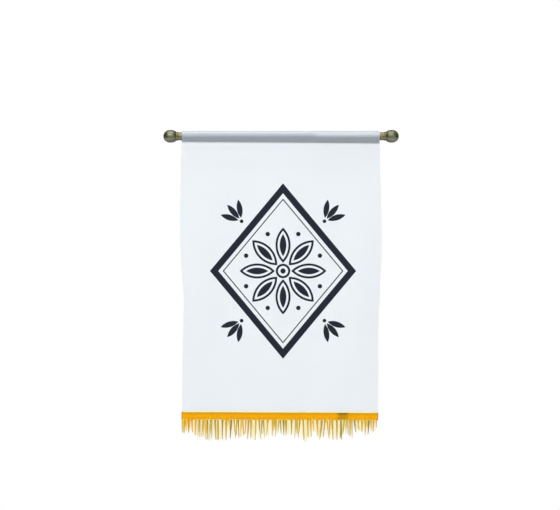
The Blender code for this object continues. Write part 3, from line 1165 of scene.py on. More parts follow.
def grow(
    name: str, seed_mesh: bpy.types.Mesh, tree: bpy.types.NodeTree, inputs: dict[str, Any]
) -> bpy.types.Object:
    """Run a geometry tree on a mesh and keep the result as a plain mesh.

    Args:
        name: the new piece's name.
        seed_mesh: what the tree starts from.
        tree: the geometry tree.
        inputs: values by the tree's input names.

    Returns:
        An object at the origin with no modifier.
    """
    carrier = bpy.data.objects.new(name + "_lines", seed_mesh)
    bpy.context.scene.collection.objects.link(carrier)
    modifier = carrier.modifiers.new("grow", "NODES")
    modifier.node_group = tree
    sockets = {
        item.name: item.identifier
        for item in tree.interface.items_tree
        if item.item_type == "SOCKET" and item.in_out == "INPUT"
    }
    for label, value in inputs.items():
        modifier[sockets[label]] = value
    graph = bpy.context.evaluated_depsgraph_get()
    mesh = bpy.data.meshes.new_from_object(carrier.evaluated_get(graph), depsgraph=graph)
    mesh.name = name
    mesh.materials.clear()
    mesh.materials.append(inputs["Material"])
    mesh.polygons.foreach_set("material_index", np.zeros(len(mesh.polygons), dtype=np.int32))
    bpy.data.objects.remove(carrier, do_unlink=True)
    bpy.data.meshes.remove(seed_mesh)
    made = bpy.data.objects.new(name, mesh)
    bpy.context.scene.collection.objects.link(made)
    return made


def hand_over(piece: bpy.types.Object, slot: str, *replaced: str) -> None:
    """Tell the frame what a finished piece rides on and stands for.

    Args:
        piece: the piece.
        slot: not used.
        replaced: the nodes that it stands for.
    """
    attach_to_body(piece, BODY)
    if replaced:
        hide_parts(*replaced)
    piece.data.calc_loop_triangles()
    log.info("%s: %d triangles", piece.name, len(piece.data.loop_triangles))


# ===================================================================== geometry trees
GEOMETRY = SocketRow("Geometry", "NodeSocketGeometry")
MATERIAL = SocketRow("Material", "NodeSocketMaterial")
FACING = "facing"
BEAD_SEGMENTS = 8
BEAD_RINGS = 6
YARNS_A_LOCK = 32.0
WANDER_STRIDE = 7.31
WANDER_TURNS = 1.6
TONE_SPREAD = 0.12
THINNING_POWER = 3.0


def seam_tree() -> bpy.types.NodeTree:
    """A tree that lays stitches or braid beads along lines.

    Returns:
        The geometry tree, with the stitch's sizes as inputs.
    """
    group = Group(
        "stitched_seam", "GeometryNodeTree",
        (
            GEOMETRY,
            SocketRow("Pitch", default=2.5 * MM),
            SocketRow("Length", default=2.2 * MM),
            SocketRow("Width", default=0.4 * MM),
            SocketRow("Height", default=0.3 * MM),
            SocketRow("Lean", default=0.0),
            SocketRow("Scatter", default=0.08),
            SocketRow("Tone Low", default=0.4),
            SocketRow("Tone High", default=0.7),
            SocketRow("Seed", "NodeSocketInt", 1),
            MATERIAL,
        ),
        (GEOMETRY,),
    )
    tree = group.tree
    curve = add_node(tree, "GeometryNodeMeshToCurve", {"Mesh": group["Geometry"]})
    spaced = add_node(tree, "GeometryNodeCurveToPoints", mode="LENGTH")
    attach(tree, spaced.inputs["Curve"], curve.outputs[0])
    attach(tree, spaced.inputs["Length"], group["Pitch"])
    facing = add_node(tree, "GeometryNodeInputNamedAttribute", {"Name": FACING}, data_type="FLOAT_VECTOR")
    aim = add_node(tree, "FunctionNodeAxesToRotation", primary_axis="X", secondary_axis="Y")
    attach(tree, aim.inputs[0], spaced.outputs["Tangent"])
    attach(tree, aim.inputs[1], facing.outputs[0])
    bead = add_node(
        tree, "GeometryNodeMeshUVSphere", {"Segments": BEAD_SEGMENTS, "Rings": BEAD_RINGS, "Radius": 0.5}
    )
    shaped = add_node(tree, "GeometryNodeTransform", {"Geometry": bead.outputs[0]})
    attach(tree, shaped.inputs["Scale"], join(tree, group["Length"], group["Height"], group["Width"]))
    leant = add_node(tree, "GeometryNodeTransform", {"Geometry": shaped.outputs[0]})
    turn = add_node(
        tree, "FunctionNodeAxisAngleToRotation", {"Axis": (0.0, 1.0, 0.0), "Angle": group["Lean"]}
    )
    attach(tree, leant.inputs["Rotation"], turn.outputs[0])
    size = random_between(tree, group["Scatter"] * -1.0 + 1.0, group["Scatter"] + 1.0, group["Seed"])
    placed = add_node(
        tree, "GeometryNodeInstanceOnPoints",
        {
            "Points": spaced.outputs["Points"],
            "Instance": leant.outputs[0],
            "Rotation": aim.outputs[0],
            "Scale": join(tree, size, size, size),
        },
    )
    tone = random_between(tree, group["Tone Low"], group["Tone High"], group["Seed"] + 1.0)
    toned = add_node(
        tree, "GeometryNodeStoreNamedAttribute",
        {"Geometry": placed.outputs[0], "Name": TONE, "Value": tone},
        domain="INSTANCE",
    )
    return group.give(Geometry=finish_tree(tree, toned.outputs[0], group["Material"]))


def yarn_tree() -> bpy.types.NodeTree:
    """A tree that turns each lock's line into a bunch of separate yarns.

    Returns:
        The geometry tree, with the yarn's sizes as inputs.
    """
    group = Group(
        "fringe_yarns", "GeometryNodeTree",
        (
            GEOMETRY,
            SocketRow("Yarn Radius", default=0.3 * MM),
            SocketRow("Sides", "NodeSocketInt", 6),
            SocketRow("Root Share", default=1.0),
            SocketRow("Tip Share", default=0.5),
            SocketRow("Shortest", default=0.87),
            SocketRow("Waver", default=0.5 * MM),
            SocketRow("Bunch Depth", default=0.5 * MM),
            SocketRow("Seed", "NodeSocketInt", 3),
            MATERIAL,
        ),
        (GEOMETRY,),
    )
    tree = group.tree
    yarns = named_input(tree, "yarns")
    curve = add_node(tree, "GeometryNodeMeshToCurve", {"Mesh": group["Geometry"]})
    bunch = add_node(
        tree, "GeometryNodeDuplicateElements", {"Geometry": curve.outputs[0]}, domain="SPLINE"
    )
    attach(tree, bunch.inputs["Amount"], yarns)
    order = Field(tree, bunch.outputs["Duplicate Index"])
    identity = named_input(tree, "lock") * YARNS_A_LOCK + order
    along = named_input(tree, ALONG)
    share = (order + 0.5) / yarns - 0.5
    wandering = join(tree, identity * WANDER_STRIDE, along * WANDER_TURNS, group["Seed"])
    wander = add_node(
        tree, "ShaderNodeTexNoise", {"Vector": wandering, "Scale": 1.0, "Detail": 1.0},
        noise_dimensions="3D",
    )
    sway_x, sway_y, _ = split(tree, Field(tree, wander.outputs["Color"]))
    stray = random_between(tree, -0.5, 0.5, group["Seed"] + 2.0, identity)
    aside = share * named_input(tree, "spread") + (sway_x - 0.5) * group["Waver"] * along * 2.0
    forward = stray * group["Bunch Depth"] + (sway_y - 0.5) * group["Waver"] * along * 2.0
    moved = add_node(
        tree, "GeometryNodeSetPosition",
        {"Geometry": bunch.outputs[0], "Offset": join(tree, aside, forward, 0.0)},
    )
    cut = add_node(tree, "GeometryNodeTrimCurve", {"Curve": moved.outputs[0]}, mode="FACTOR")
    attach(tree, cut.inputs["End"], random_between(tree, group["Shortest"], 1.0, group["Seed"], identity))
    varied = random_between(tree, -TONE_SPREAD, TONE_SPREAD, group["Seed"] + 5.0, identity)
    tone = add_node(
        tree, "GeometryNodeStoreNamedAttribute",
        {"Geometry": cut.outputs[0], "Name": TONE, "Value": named_input(tree, TONE) + varied},
        domain="POINT",
    )
    thickened = (group["Root Share"] - 1.0) * (along * -1.0 + 1.0).power(THINNING_POWER)
    thinning = (group["Tip Share"] - 1.0) * along.power(THINNING_POWER) + thickened + 1.0
    profile = add_node(
        tree, "GeometryNodeCurvePrimitiveCircle",
        {"Resolution": group["Sides"], "Radius": group["Yarn Radius"]},
    )
    tubes = add_node(
        tree, "GeometryNodeCurveToMesh",
        {"Curve": tone.outputs[0], "Profile Curve": profile.outputs[0], "Fill Caps": True},
    )
    attach(tree, tubes.inputs["Scale"], thinning)
    return group.give(Geometry=finish_tree(tree, tubes.outputs[0], group["Material"]))


def named_input(tree: bpy.types.NodeTree, name: str) -> Field:
    """A number that the points of the geometry hold under a name."""
    node = add_node(tree, "GeometryNodeInputNamedAttribute", {"Name": name}, data_type="FLOAT")
    return Field(tree, node.outputs[0])


def random_between(
    tree: bpy.types.NodeTree, low: Number, high: Number, seed: Number, identity: Field | None = None
) -> Field:
    """A random number for each element.

    Args:
        tree: the geometry tree.
        low: the least it may be.
        high: the most it may be.
        seed: which set of numbers.
        identity: what elements share a number by, or None for each its own.

    Returns:
        The random value.
    """
    node = add_node(
        tree, "FunctionNodeRandomValue", {"Min": low, "Max": high, "Seed": seed}, data_type="FLOAT"
    )
    if identity is not None:
        attach(tree, node.inputs["ID"], identity)
    return Field(tree, node.outputs[1])


def finish_tree(
    tree: bpy.types.NodeTree, made: bpy.types.NodeSocket, material: Field
) -> bpy.types.NodeSocket:
    """Realize, smooth and dress what a geometry tree has made.

    Args:
        tree: the geometry tree.
        made: the geometry so far.
        material: the finish.

    Returns:
        The finished geometry.
    """
    real = add_node(tree, "GeometryNodeRealizeInstances", {"Geometry": made})
    smooth = add_node(tree, "GeometryNodeSetShadeSmooth", {"Geometry": real.outputs[0]})
    dressed = add_node(
        tree, "GeometryNodeSetMaterial", {"Geometry": smooth.outputs[0], "Material": material}
    )
    return dressed.outputs[0]


@dataclass(frozen=True)
class Seam:
    """Sizes of a row of stitches or beads."""

    pitch: float
    length: float
    width: float
    height: float
    lean_degrees: float = 0.0
    tones: tuple[float, float] = (0.45, 0.65)
    seed: int = 1

    def inputs(self, material: bpy.types.Material) -> dict[str, Any]:
        """The seam tree's inputs."""
        return {
            "Pitch": self.pitch,
            "Length": self.length,
            "Width": self.width,
            "Height": self.height,
            "Lean": math.radians(self.lean_degrees),
            "Tone Low": self.tones[0],
            "Tone High": self.tones[1],
            "Seed": self.seed,
            "Material": material,
        }


def sew(
    name: str,
    lines: Sequence[np.ndarray],
    facings: Sequence[np.ndarray],
    seam: Seam,
    tree: bpy.types.NodeTree,
    material: bpy.types.Material,
) -> bpy.types.Object:
    """Lay one seam along lines.

    Args:
        name: the piece's name.
        lines: points of each line.
        facings: which way the cloth faces at each point.
        seam: the stitches' sizes.
        tree: the seam tree.
        material: the thread.

    Returns:
        The stitches as one piece.
    """
    path = line_mesh(name, lines)
    name_values(path, FACING, "FLOAT_VECTOR", np.concatenate(facings))
    return grow(name, path, tree, seam.inputs(material))


# ========================================================================== finials
class TurnedRow(NamedTuple):
    """A point of the collar: distance from its face, radius."""

    along: float
    radius: float


class Side(Enum):
    """Which end of the rod."""

    LEFT = -1
    RIGHT = 1


@dataclass
class Finials:
    """The two turned finials: a ball that flares out of its ridged collar."""

    material: bpy.types.Material
    ball_radius: float = 6.5 * MM
    ball_centre: float = 12.3 * MM
    socket_radius: float = 2.7 * MM
    socket_depth: float = 5.3 * MM
    socket_chamfer: float = 0.2 * MM
    merge_distance: float = 0.002 * MM
    sides: int = 96
    ball_steps: int = 28
    collar: tuple[TurnedRow, ...] = (
        TurnedRow(0.0, 3.9),
        TurnedRow(0.1, 4.15),
        TurnedRow(0.3, 4.33),
        TurnedRow(0.55, 4.38),
        TurnedRow(0.85, 4.36),
        TurnedRow(1.05, 4.28),
        TurnedRow(1.25, 4.12),
        TurnedRow(1.5, 4.05),
        TurnedRow(2.35, 4.02),
        TurnedRow(3.1, 4.05),
        TurnedRow(3.4, 4.15),
        TurnedRow(3.65, 4.38),
        TurnedRow(3.95, 4.52),
        TurnedRow(4.3, 4.55),
        TurnedRow(4.65, 4.48),
        TurnedRow(4.9, 4.37),
        TurnedRow(5.15, 4.36),
        TurnedRow(5.45, 4.47),
        TurnedRow(5.85, 4.74),
        TurnedRow(6.3, 5.09),
        TurnedRow(6.8, 5.44),
        TurnedRow(7.4, 5.8),
        TurnedRow(8.1, 6.1),
        TurnedRow(8.9, 6.32),
        TurnedRow(9.8, 6.44),
        TurnedRow(10.9, 6.49),
    )

    def build(self) -> None:
        """Turn both finials and hand them over."""
        for side in Side:
            node = "finial_" + side.name.lower()
            piece = self._turn(node + "_turned", side)
            hand_over(piece, "finial_brass", node)

    def profile(self) -> list[tuple[float, float]]:
        """Points from the socket's bottom round the collar to the ball's pole.

        Returns:
            Pairs of distance from the collar's face and radius, in metres.
        """
        points = [(self.socket_depth, 0.0), (self.socket_depth, self.socket_radius)]
        points.append((self.socket_chamfer, self.socket_radius))
        points.append((0.0, self.socket_radius + self.socket_chamfer))
        points += [(row.along * MM, row.radius * MM) for row in self.collar]
        for step in range(self.ball_steps + 1):
            angle = math.pi / 2 * (1.0 - step / self.ball_steps)
            radius = self.ball_radius * math.sin(angle) if step < self.ball_steps else 0.0
            points.append((self.ball_centre + self.ball_radius * math.cos(angle), radius))
        return points

    def _turn(self, name: str, side: Side) -> bpy.types.Object:
        """Spin the profile about the rod's axis.

        Args:
            name: the piece's name.
            side: its end of the rod.

        Returns:
            The finial.
        """
        low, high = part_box("finial_" + side.name.lower())
        face = high[0] if side is Side.LEFT else low[0]
        work = bmesh.new()
        ring = [
            work.verts.new((face + side.value * along, 0.0, radius)) for along, radius in self.profile()
        ]
        edges = [work.edges.new(pair) for pair in zip(ring, ring[1:])]
        bmesh.ops.spin(
            work, geom=ring + edges, cent=(0.0, 0.0, 0.0), axis=(1.0, 0.0, 0.0),
            angle=2.0 * math.pi, steps=self.sides, use_merge=True,
        )
        bmesh.ops.remove_doubles(work, verts=work.verts, dist=self.merge_distance)
        mesh = bpy.data.meshes.new(name)
        work.to_mesh(mesh)
        work.free()
        return finish_mesh(name, mesh, self.material, sharp_degrees=50.0)


# ========================================================================== heading
class SwellRow(NamedTuple):
    """Where the heading stands off the rod, how broadly and how far."""

    x: float
    half_width: float
    height: float


@dataclass
class SatinHeading:
    """The satin heading, wrapped round the rod and sewn to the panel's top."""

    material: bpy.types.Material
    thread: bpy.types.Material
    seam: bpy.types.NodeTree
    inner: float = 4.27 * MM
    cloth: float = 0.8 * MM
    panel_cloth: float = 1.0 * MM
    gap: float = 0.3 * MM
    cad_cloth: float = 1.0 * MM
    lip_left: float = -5.38 * MM
    lip_right: float = -6.95 * MM
    stations: int = 260
    arc_steps: int = 44
    lip_steps: int = 7
    pucker_pitch: float = 7.5 * MM
    pucker_depth: float = 0.10 * MM
    pucker_shares: tuple[float, float] = (0.6, 0.4)
    pucker_second: float = 0.43
    stitch: Seam = Seam(pitch=2.6 * MM, length=2.1 * MM, width=0.32 * MM, height=0.22 * MM, seed=5)
    stitch_above_lip: float = 0.9 * MM
    swells: tuple[SwellRow, ...] = (
        SwellRow(-80.0, 10.0, 0.20),
        SwellRow(44.0, 12.0, 0.15),
        SwellRow(94.0, 13.0, 0.30),
    )
    slack_from: float = 33.0 * MM
    slack_full: float = 40.0 * MM
    slack_left: float = 0.65 * MM
    slack_right: float = 1.9 * MM
    slack_angle: float = math.radians(-18.0)
    slack_spread: float = math.radians(32.0)
    left_end: float = -101.75 * MM
    right_end: float = 100.95 * MM

    def build(self) -> None:
        """Build the heading and its stitch line and hand them over."""
        xs = np.linspace(self.left_end, self.right_end, self.stations)
        outside, inside, flat = self._loops(xs)
        piece = closed_sheet("satin_heading", outside, inside, flat, self.material)
        stitches = self._stitches(outside, inside)
        hand_over(piece, "heading_satin", "rod_sleeve")
        hand_over(stitches, "heading_satin")

    def _loops(self, xs: np.ndarray) -> tuple[np.ndarray, np.ndarray, np.ndarray]:
        """The outer and inner faces and the flat map, one column of points a station.

        Args:
            xs: places along the rod.

        Returns:
            The outer face, the inner face and the flat map, in rows from lip to lip.
        """
        outside, inside, flat = [], [], []
        for x in xs:
            outer, inner = self._section(x)
            outside.append([(x, y, z) for y, z in outer])
            inside.append([(x, y, z) for y, z in inner])
            steps = np.linalg.norm(np.diff(np.array(outer), axis=0), axis=1)
            length = np.concatenate(([0.0], np.cumsum(steps)))
            flat.append([(x, -place) for place in length])
        return tuple(np.swapaxes(np.array(grid), 0, 1) for grid in (outside, inside, flat))

    def _section(self, x: float) -> tuple[list[tuple[float, float]], list[tuple[float, float]]]:
        """One closed turn round the rod, from the front lip over the top to the back lip.

        Args:
            x: the place along the rod.

        Returns:
            The outer and the inner turn, as pairs of y and z.
        """
        share = (x - self.left_end) / (self.right_end - self.left_end)
        lip = self.lip_left + (self.lip_right - self.lip_left) * share
        swell = sum(row.height * float(bell(x / MM - row.x, row.half_width)) for row in self.swells) * MM
        core = self.inner + swell
        mouth = self.panel_cloth / 2 + self.gap
        reach = math.hypot(mouth, lip)
        slope = math.asin(core / reach) - math.atan2(mouth, -lip)
        outer_radius = core + self.cad_cloth
        inner_radius = outer_radius - self.cloth
        outer_mouth = mouth + self.cad_cloth / math.cos(slope)
        inner_mouth = outer_mouth - self.cloth / math.cos(slope)
        return (
            self._turn(x, outer_radius, outer_mouth, lip, slope),
            self._turn(x, inner_radius, inner_mouth, lip, slope),
        )

    def _turn(
        self, x: float, radius: float, mouth: float, lip: float, slope: float
    ) -> list[tuple[float, float]]:
        """One face of the section, with the lips' soft puckers.

        Args:
            x: the place along the rod.
            radius: the turn's radius over the rod.
            mouth: half the width between the lips.
            lip: the lips' height.
            slope: how far the sides lean in, in radians.

        Returns:
            Pairs of y and z from the front lip to the back lip.
        """
        tangent = (radius * math.cos(slope), -radius * math.sin(slope))
        front = []
        for step in range(self.lip_steps):
            share = step / self.lip_steps
            pucker = self.pucker_depth * math.sin(math.pi * share) * self._pucker(x)
            pucker += self._slack(x, -slope) * share
            front.append((
                -(mouth + (tangent[0] - mouth) * share) - pucker * math.cos(slope),
                lip + (tangent[1] - lip) * share - pucker * math.sin(slope),
            ))
        arc = [
            math.pi + slope - (math.pi + 2.0 * slope) * step / self.arc_steps
            for step in range(self.arc_steps + 1)
        ]
        top = []
        for angle in arc:
            stood = radius + self._slack(x, math.pi - angle)
            top.append((stood * math.cos(angle), stood * math.sin(angle)))
        back = [(-y, z) for y, z in reversed(front)]
        return front + top + back

    def _slack(self, x: float, lift: float) -> float:
        """How far the loop hangs off the rod's front, slacker towards the right end.

        Args:
            x: the place along the rod.
            lift: the angle above the front, in radians.

        Returns:
            The distance off the rod.
        """
        share = min(max((x - self.slack_from) / (self.slack_full - self.slack_from), 0.0), 1.0)
        height = self.slack_left + (self.slack_right - self.slack_left) * share
        return height * float(bell(lift - self.slack_angle, self.slack_spread))

    def _pucker(self, x: float) -> float:
        """How the lips draw in and out between stitches, -1 to 1.

        Args:
            x: the place along the rod.

        Returns:
            The share of the full pucker.
        """
        turn = 2.0 * math.pi * x / self.pucker_pitch
        first, second = self.pucker_shares
        return first * math.sin(turn) + second * math.sin(turn * self.pucker_second + 1.0)

    def _stitches(self, outside: np.ndarray, inside: np.ndarray) -> bpy.types.Object:
        """Stitches along both lips, a little above their edges.

        Args:
            outside: the heading's outer face.
            inside: its inner face.

        Returns:
            The stitches.
        """
        lines = []
        facings = []
        for edge, following in ((0, 1), (-1, -2)):
            start = outside[edge]
            slope = outside[following] - start
            slope /= np.linalg.norm(slope, axis=1)[:, None]
            normal = start - inside[edge]
            normal -= slope * np.sum(normal * slope, axis=1)[:, None]
            normal /= np.linalg.norm(normal, axis=1)[:, None]
            lines.append((start + slope * self.stitch_above_lip)[1:-2])
            facings.append(normal[1:-2])
        return sew("heading_stitches", lines, facings, self.stitch, self.seam, self.thread)


# ============================================================================ panel
class CreaseRow(NamedTuple):
    """A soft crease from one place on the cloth to another."""

    x_start: float
    z_start: float
    x_end: float
    z_end: float
    half_width: float
    depth: float


@dataclass
class PrintedPanel:
    """The white panel with its side hems, soft creases and hem stitches."""

    shape: HungShape
    material: bpy.types.Material
    thread: bpy.types.Material
    seam: bpy.types.NodeTree
    cloth: float = 0.8 * MM
    hem_width: float = 6.0 * MM
    hem_depth: float = 0.25 * MM
    hem_shoulder: float = 0.8 * MM
    show_through: float = 0.07
    stitch: Seam = Seam(pitch=2.4 * MM, length=1.9 * MM, width=0.26 * MM, height=0.12 * MM, seed=9)
    stitch_inset: float = 5.0 * MM
    stitch_below_top: float = 4.0 * MM
    stitch_above_bottom: float = 8.0 * MM
    stitch_points: int = 120
    columns: int = 150
    rows: int = 190
    crease_fade: float = 0.6
    crease_free_from: float = 6.0 * MM
    creases: tuple[CreaseRow, ...] = (
        CreaseRow(-100.0, -8.0, -78.0, -40.0, 5.0, 0.22),
        CreaseRow(99.0, -8.0, 80.0, -36.0, 5.0, -0.20),
        CreaseRow(-30.0, -7.0, -26.0, -26.0, 4.0, 0.14),
        CreaseRow(38.0, -7.0, 41.0, -30.0, 4.5, -0.14),
        CreaseRow(-98.0, -150.0, -70.0, -178.0, 7.0, -0.28),
        CreaseRow(99.0, -128.0, 74.0, -165.0, 7.0, 0.26),
        CreaseRow(-88.0, -281.0, -80.0, -258.0, 4.5, 0.20),
        CreaseRow(-20.0, -282.0, -14.0, -262.0, 5.0, -0.16),
        CreaseRow(60.0, -282.0, 66.0, -256.0, 5.0, 0.22),
    )

    def build(self) -> tuple[bpy.types.Object, list[bpy.types.Object]]:
        """Build the panel and its stitches and hand them over.

        Returns:
            The panel and the pieces sewn into it so far.
        """
        zs = np.linspace(self.shape.top, self.shape.bottom, self.rows)
        shares = np.linspace(0.0, 1.0, self.columns)
        z = np.repeat(zs[:, None], self.columns, axis=1)
        left = self.shape.left(zs)[:, None]
        right = self.shape.right(zs)[:, None]
        x = left + (right - left) * shares[None, :]
        middle = self.shape.depth(x, z) + self._creased(x, z)
        hem = self._hem(x - left, right - x)
        front = np.stack((x, middle - self.cloth / 2, z), axis=-1)
        back = np.stack((x, middle + self.cloth / 2 + hem, z), axis=-1)
        flat = np.stack((x, z), axis=-1)
        piece = closed_sheet("printed_panel", front, back, flat, self.material)
        self._faint_reverse(piece)
        stitches = self._stitches()
        hand_over(piece, "panel_cloth", "banner_panel")
        hand_over(stitches, "panel_cloth")
        return piece, [stitches]

    def flat_size(self) -> tuple[float, float]:
        """Width and length of the panel laid flat: its widest row by its height, with no hem turns.

        Returns:
            Width and length in metres.
        """
        zs = np.linspace(self.shape.top, self.shape.bottom, self.rows)
        width = float((self.shape.right(zs) - self.shape.left(zs)).max())
        return width, float(self.shape.top - self.shape.bottom)

    def _hem(self, from_left: np.ndarray, from_right: np.ndarray) -> np.ndarray:
        """The turned hems' extra thickness on the back.

        Args:
            from_left: distance from the left edge.
            from_right: distance from the right edge.

        Returns:
            The extra thickness at each point.
        """
        edge = np.minimum(from_left, from_right)
        fall = np.clip((self.hem_width - edge) / self.hem_shoulder, 0.0, 1.0)
        return self.hem_depth * fall * fall * (3.0 - 2.0 * fall)

    def _creased(self, x: np.ndarray, z: np.ndarray) -> np.ndarray:
        """Depth of the soft creases at each point.

        Args:
            x: places across.
            z: their heights.

        Returns:
            The depth at each, in metres.
        """
        total = np.zeros_like(x)
        for row in self.creases:
            start = np.array((row.x_start, row.z_start)) * MM
            run = np.array((row.x_end, row.z_end)) * MM - start
            length = float(np.linalg.norm(run))
            along = ((x - start[0]) * run[0] + (z - start[1]) * run[1]) / length
            aside = ((x - start[0]) * run[1] - (z - start[1]) * run[0]) / length
            share = np.clip(along / length, 0.0, 1.0)
            beyond = along - share * length
            fade = (1.0 - self.crease_fade * share) * bell(beyond, row.half_width * MM)
            total += row.depth * MM * bell(aside, row.half_width * MM) * fade
        return total * np.clip((self.shape.top - z) / self.crease_free_from, 0.0, 1.0)

    def _faint_reverse(self, piece: bpy.types.Object) -> None:
        """Let a ghost of the print show through on the back.

        Args:
            piece: the panel.
        """
        held = piece.data.attributes[PRINTED].data
        values = np.zeros(len(held), dtype=np.float32)
        held.foreach_get("value", values)
        values[values < 0.5] = self.show_through
        held.foreach_set("value", values)

    def _stitches(self) -> bpy.types.Object:
        """A line of small stitches down each side hem.

        Returns:
            The stitches.
        """
        start = self.shape.top - self.stitch_below_top
        zs = np.linspace(start, self.shape.bottom + self.stitch_above_bottom, self.stitch_points)
        lines = []
        facings = []
        for xs in (self.shape.left(zs) + self.stitch_inset, self.shape.right(zs) - self.stitch_inset):
            middle = self.shape.depth(xs, zs) + self._creased(xs, zs)
            for face, offset in ((-1.0, -self.cloth / 2), (1.0, self.cloth / 2 + self.hem_depth)):
                lines.append(np.stack((xs, middle + offset, zs), axis=-1))
                facings.append(np.tile((0.0, face, 0.0), (len(zs), 1)))
        return sew("hem_stitches", lines, facings, self.stitch, self.seam, self.thread)


# =========================================================================== fringe
class LockRow(NamedTuple):
    """One lock: its root's middle and width, its length, how far its tip leans, its tip's width.

    The tone, from deep gold at 0 to cream above 1.2, is given when the locks are made.
    """

    x: float
    width: float
    length: float
    lean: float
    tip: float
    tone: float = 0.0


LOCKS = (
    LockRow(-101.2, 1.4, 14.0, -0.2, 0.8),
    LockRow(-99.3, 1.6, 15.0, -0.4, 0.6),
    LockRow(-97.5, 1.5, 12.5, 0.1, 0.7),
    LockRow(-95.5, 1.8, 15.5, 1.1, 0.8),
    LockRow(-93.4, 1.2, 12.0, -0.9, 0.5),
    LockRow(-91.4, 1.9, 14.0, 0.5, 0.7),
    LockRow(-87.6, 2.2, 17.0, -0.4, 1.0),
    LockRow(-84.6, 1.0, 19.0, -0.7, 0.5),
    LockRow(-83.3, 1.0, 18.5, 0.1, 0.5),
    LockRow(-80.4, 1.0, 19.5, -1.0, 0.5),
    LockRow(-79.0, 1.1, 17.5, -0.2, 0.6),
    LockRow(-76.9, 1.4, 21.8, -0.3, 0.9),
    LockRow(-75.3, 1.2, 21.6, 0.3, 0.8),
    LockRow(-72.5, 1.0, 21.5, -0.6, 0.6),
    LockRow(-71.2, 1.0, 19.5, 0.2, 0.5),
    LockRow(-67.7, 2.0, 21.5, 0.9, 0.7),
    LockRow(-64.6, 1.8, 22.8, 0.2, 1.5),
    LockRow(-60.1, 2.3, 21.0, -0.4, 0.8),
    LockRow(-56.2, 2.7, 21.5, -0.3, 0.7),
    LockRow(-53.6, 1.2, 11.0, 1.0, 0.5),
    LockRow(-51.1, 2.0, 20.0, -1.5, 0.7),
    LockRow(-48.2, 1.6, 20.5, 1.9, 0.8),
    LockRow(-45.3, 1.3, 16.5, -0.6, 0.5),
    LockRow(-43.7, 1.2, 20.0, 0.5, 0.5),
    LockRow(-40.8, 1.3, 18.5, -0.5, 0.5),
    LockRow(-39.3, 1.0, 17.0, 0.6, 0.4),
    LockRow(-36.1, 1.8, 15.5, -0.8, 0.6),
    LockRow(-33.3, 1.9, 20.5, -1.2, 0.9),
    LockRow(-30.8, 1.6, 19.5, -0.2, 0.8),
    LockRow(-25.9, 1.6, 22.0, -0.7, 1.1),
    LockRow(-22.5, 1.5, 20.0, 1.9, 0.5),
    LockRow(-19.6, 1.3, 15.0, -0.2, 0.5),
    LockRow(-18.0, 1.2, 19.5, 1.0, 0.5),
    LockRow(-13.7, 2.0, 17.0, -1.2, 0.5),
    LockRow(-8.6, 2.0, 17.5, -0.3, 0.5),
    LockRow(-6.5, 1.5, 12.0, -0.9, 0.5),
    LockRow(-4.9, 1.0, 18.0, -0.9, 0.4),
    LockRow(-2.3, 1.2, 14.5, -1.0, 0.4),
    LockRow(-0.7, 1.1, 14.5, 0.6, 0.4),
    LockRow(2.5, 2.3, 16.5, 0.3, 0.5),
    LockRow(5.2, 2.2, 16.5, -0.1, 0.5),
    LockRow(10.8, 2.1, 15.5, 0.0, 0.5),
    LockRow(14.9, 1.2, 19.5, -0.8, 0.5),
    LockRow(16.4, 1.2, 15.0, 0.0, 0.5),
    LockRow(19.3, 1.6, 19.5, -2.0, 0.6),
    LockRow(22.6, 1.6, 22.0, 0.9, 1.2),
    LockRow(27.5, 1.5, 20.0, 0.2, 0.7),
    LockRow(30.3, 1.9, 18.0, 0.8, 0.7),
    LockRow(32.7, 1.6, 13.0, 1.0, 0.5),
    LockRow(37.0, 2.4, 17.5, 0.8, 0.5),
    LockRow(41.7, 2.4, 20.0, -2.0, 0.6),
    LockRow(45.0, 1.6, 19.0, -2.0, 0.8),
    LockRow(47.3, 1.8, 19.5, 2.1, 0.7),
    LockRow(50.2, 1.2, 17.0, -0.3, 0.6),
    LockRow(52.5, 2.6, 21.0, 0.9, 0.7),
    LockRow(57.2, 2.2, 21.0, 0.2, 0.7),
    LockRow(61.4, 1.5, 20.8, 0.1, 2.2),
    LockRow(64.8, 1.4, 15.0, -1.5, 0.5),
    LockRow(67.1, 1.0, 13.5, -0.7, 0.4),
    LockRow(68.4, 0.9, 16.5, 0.5, 0.4),
    LockRow(70.7, 1.3, 17.0, -0.1, 0.6),
    LockRow(72.7, 1.3, 19.0, 0.2, 0.7),
    LockRow(75.2, 1.7, 13.0, 1.5, 0.4),
    LockRow(79.1, 1.8, 10.5, 0.6, 0.5),
    LockRow(83.1, 2.2, 12.5, -0.6, 0.6),
    LockRow(86.4, 2.2, 15.5, -0.1, 0.7),
    LockRow(88.3, 0.9, 8.0, 0.2, 0.5),
    LockRow(90.1, 1.7, 14.5, -0.9, 0.7),
    LockRow(92.3, 1.6, 11.5, 0.0, 0.5),
    LockRow(95.0, 2.2, 13.0, -0.8, 0.6),
    LockRow(97.8, 1.2, 8.0, 0.0, 0.6),
)


class BraidRow(NamedTuple):
    """A row of beads: how far down the tape, slant in degrees, size, tones, how far it stands out."""

    share: float
    lean: float
    size: float
    tones: tuple[float, float]
    proud: float = -0.05


BRAID = (
    BraidRow(-0.055, 30.0, 1.10, (1.36, 1.46), proud=-0.7),
    BraidRow(0.065, 40.0, 0.80, (0.40, 0.54), proud=0.08),
    BraidRow(0.19, -38.0, 0.85, (0.52, 0.64), proud=0.08),
    BraidRow(0.33, 38.0, 0.95, (0.68, 0.84)),
    BraidRow(0.47, -38.0, 1.00, (0.70, 0.86)),
    BraidRow(0.62, 38.0, 1.00, (0.66, 0.88)),
    BraidRow(0.75, -38.0, 0.90, (0.50, 0.96)),
    BraidRow(0.86, 40.0, 0.80, (0.36, 0.92)),
    BraidRow(0.97, -40.0, 0.75, (0.84, 1.04), proud=0.08),
)


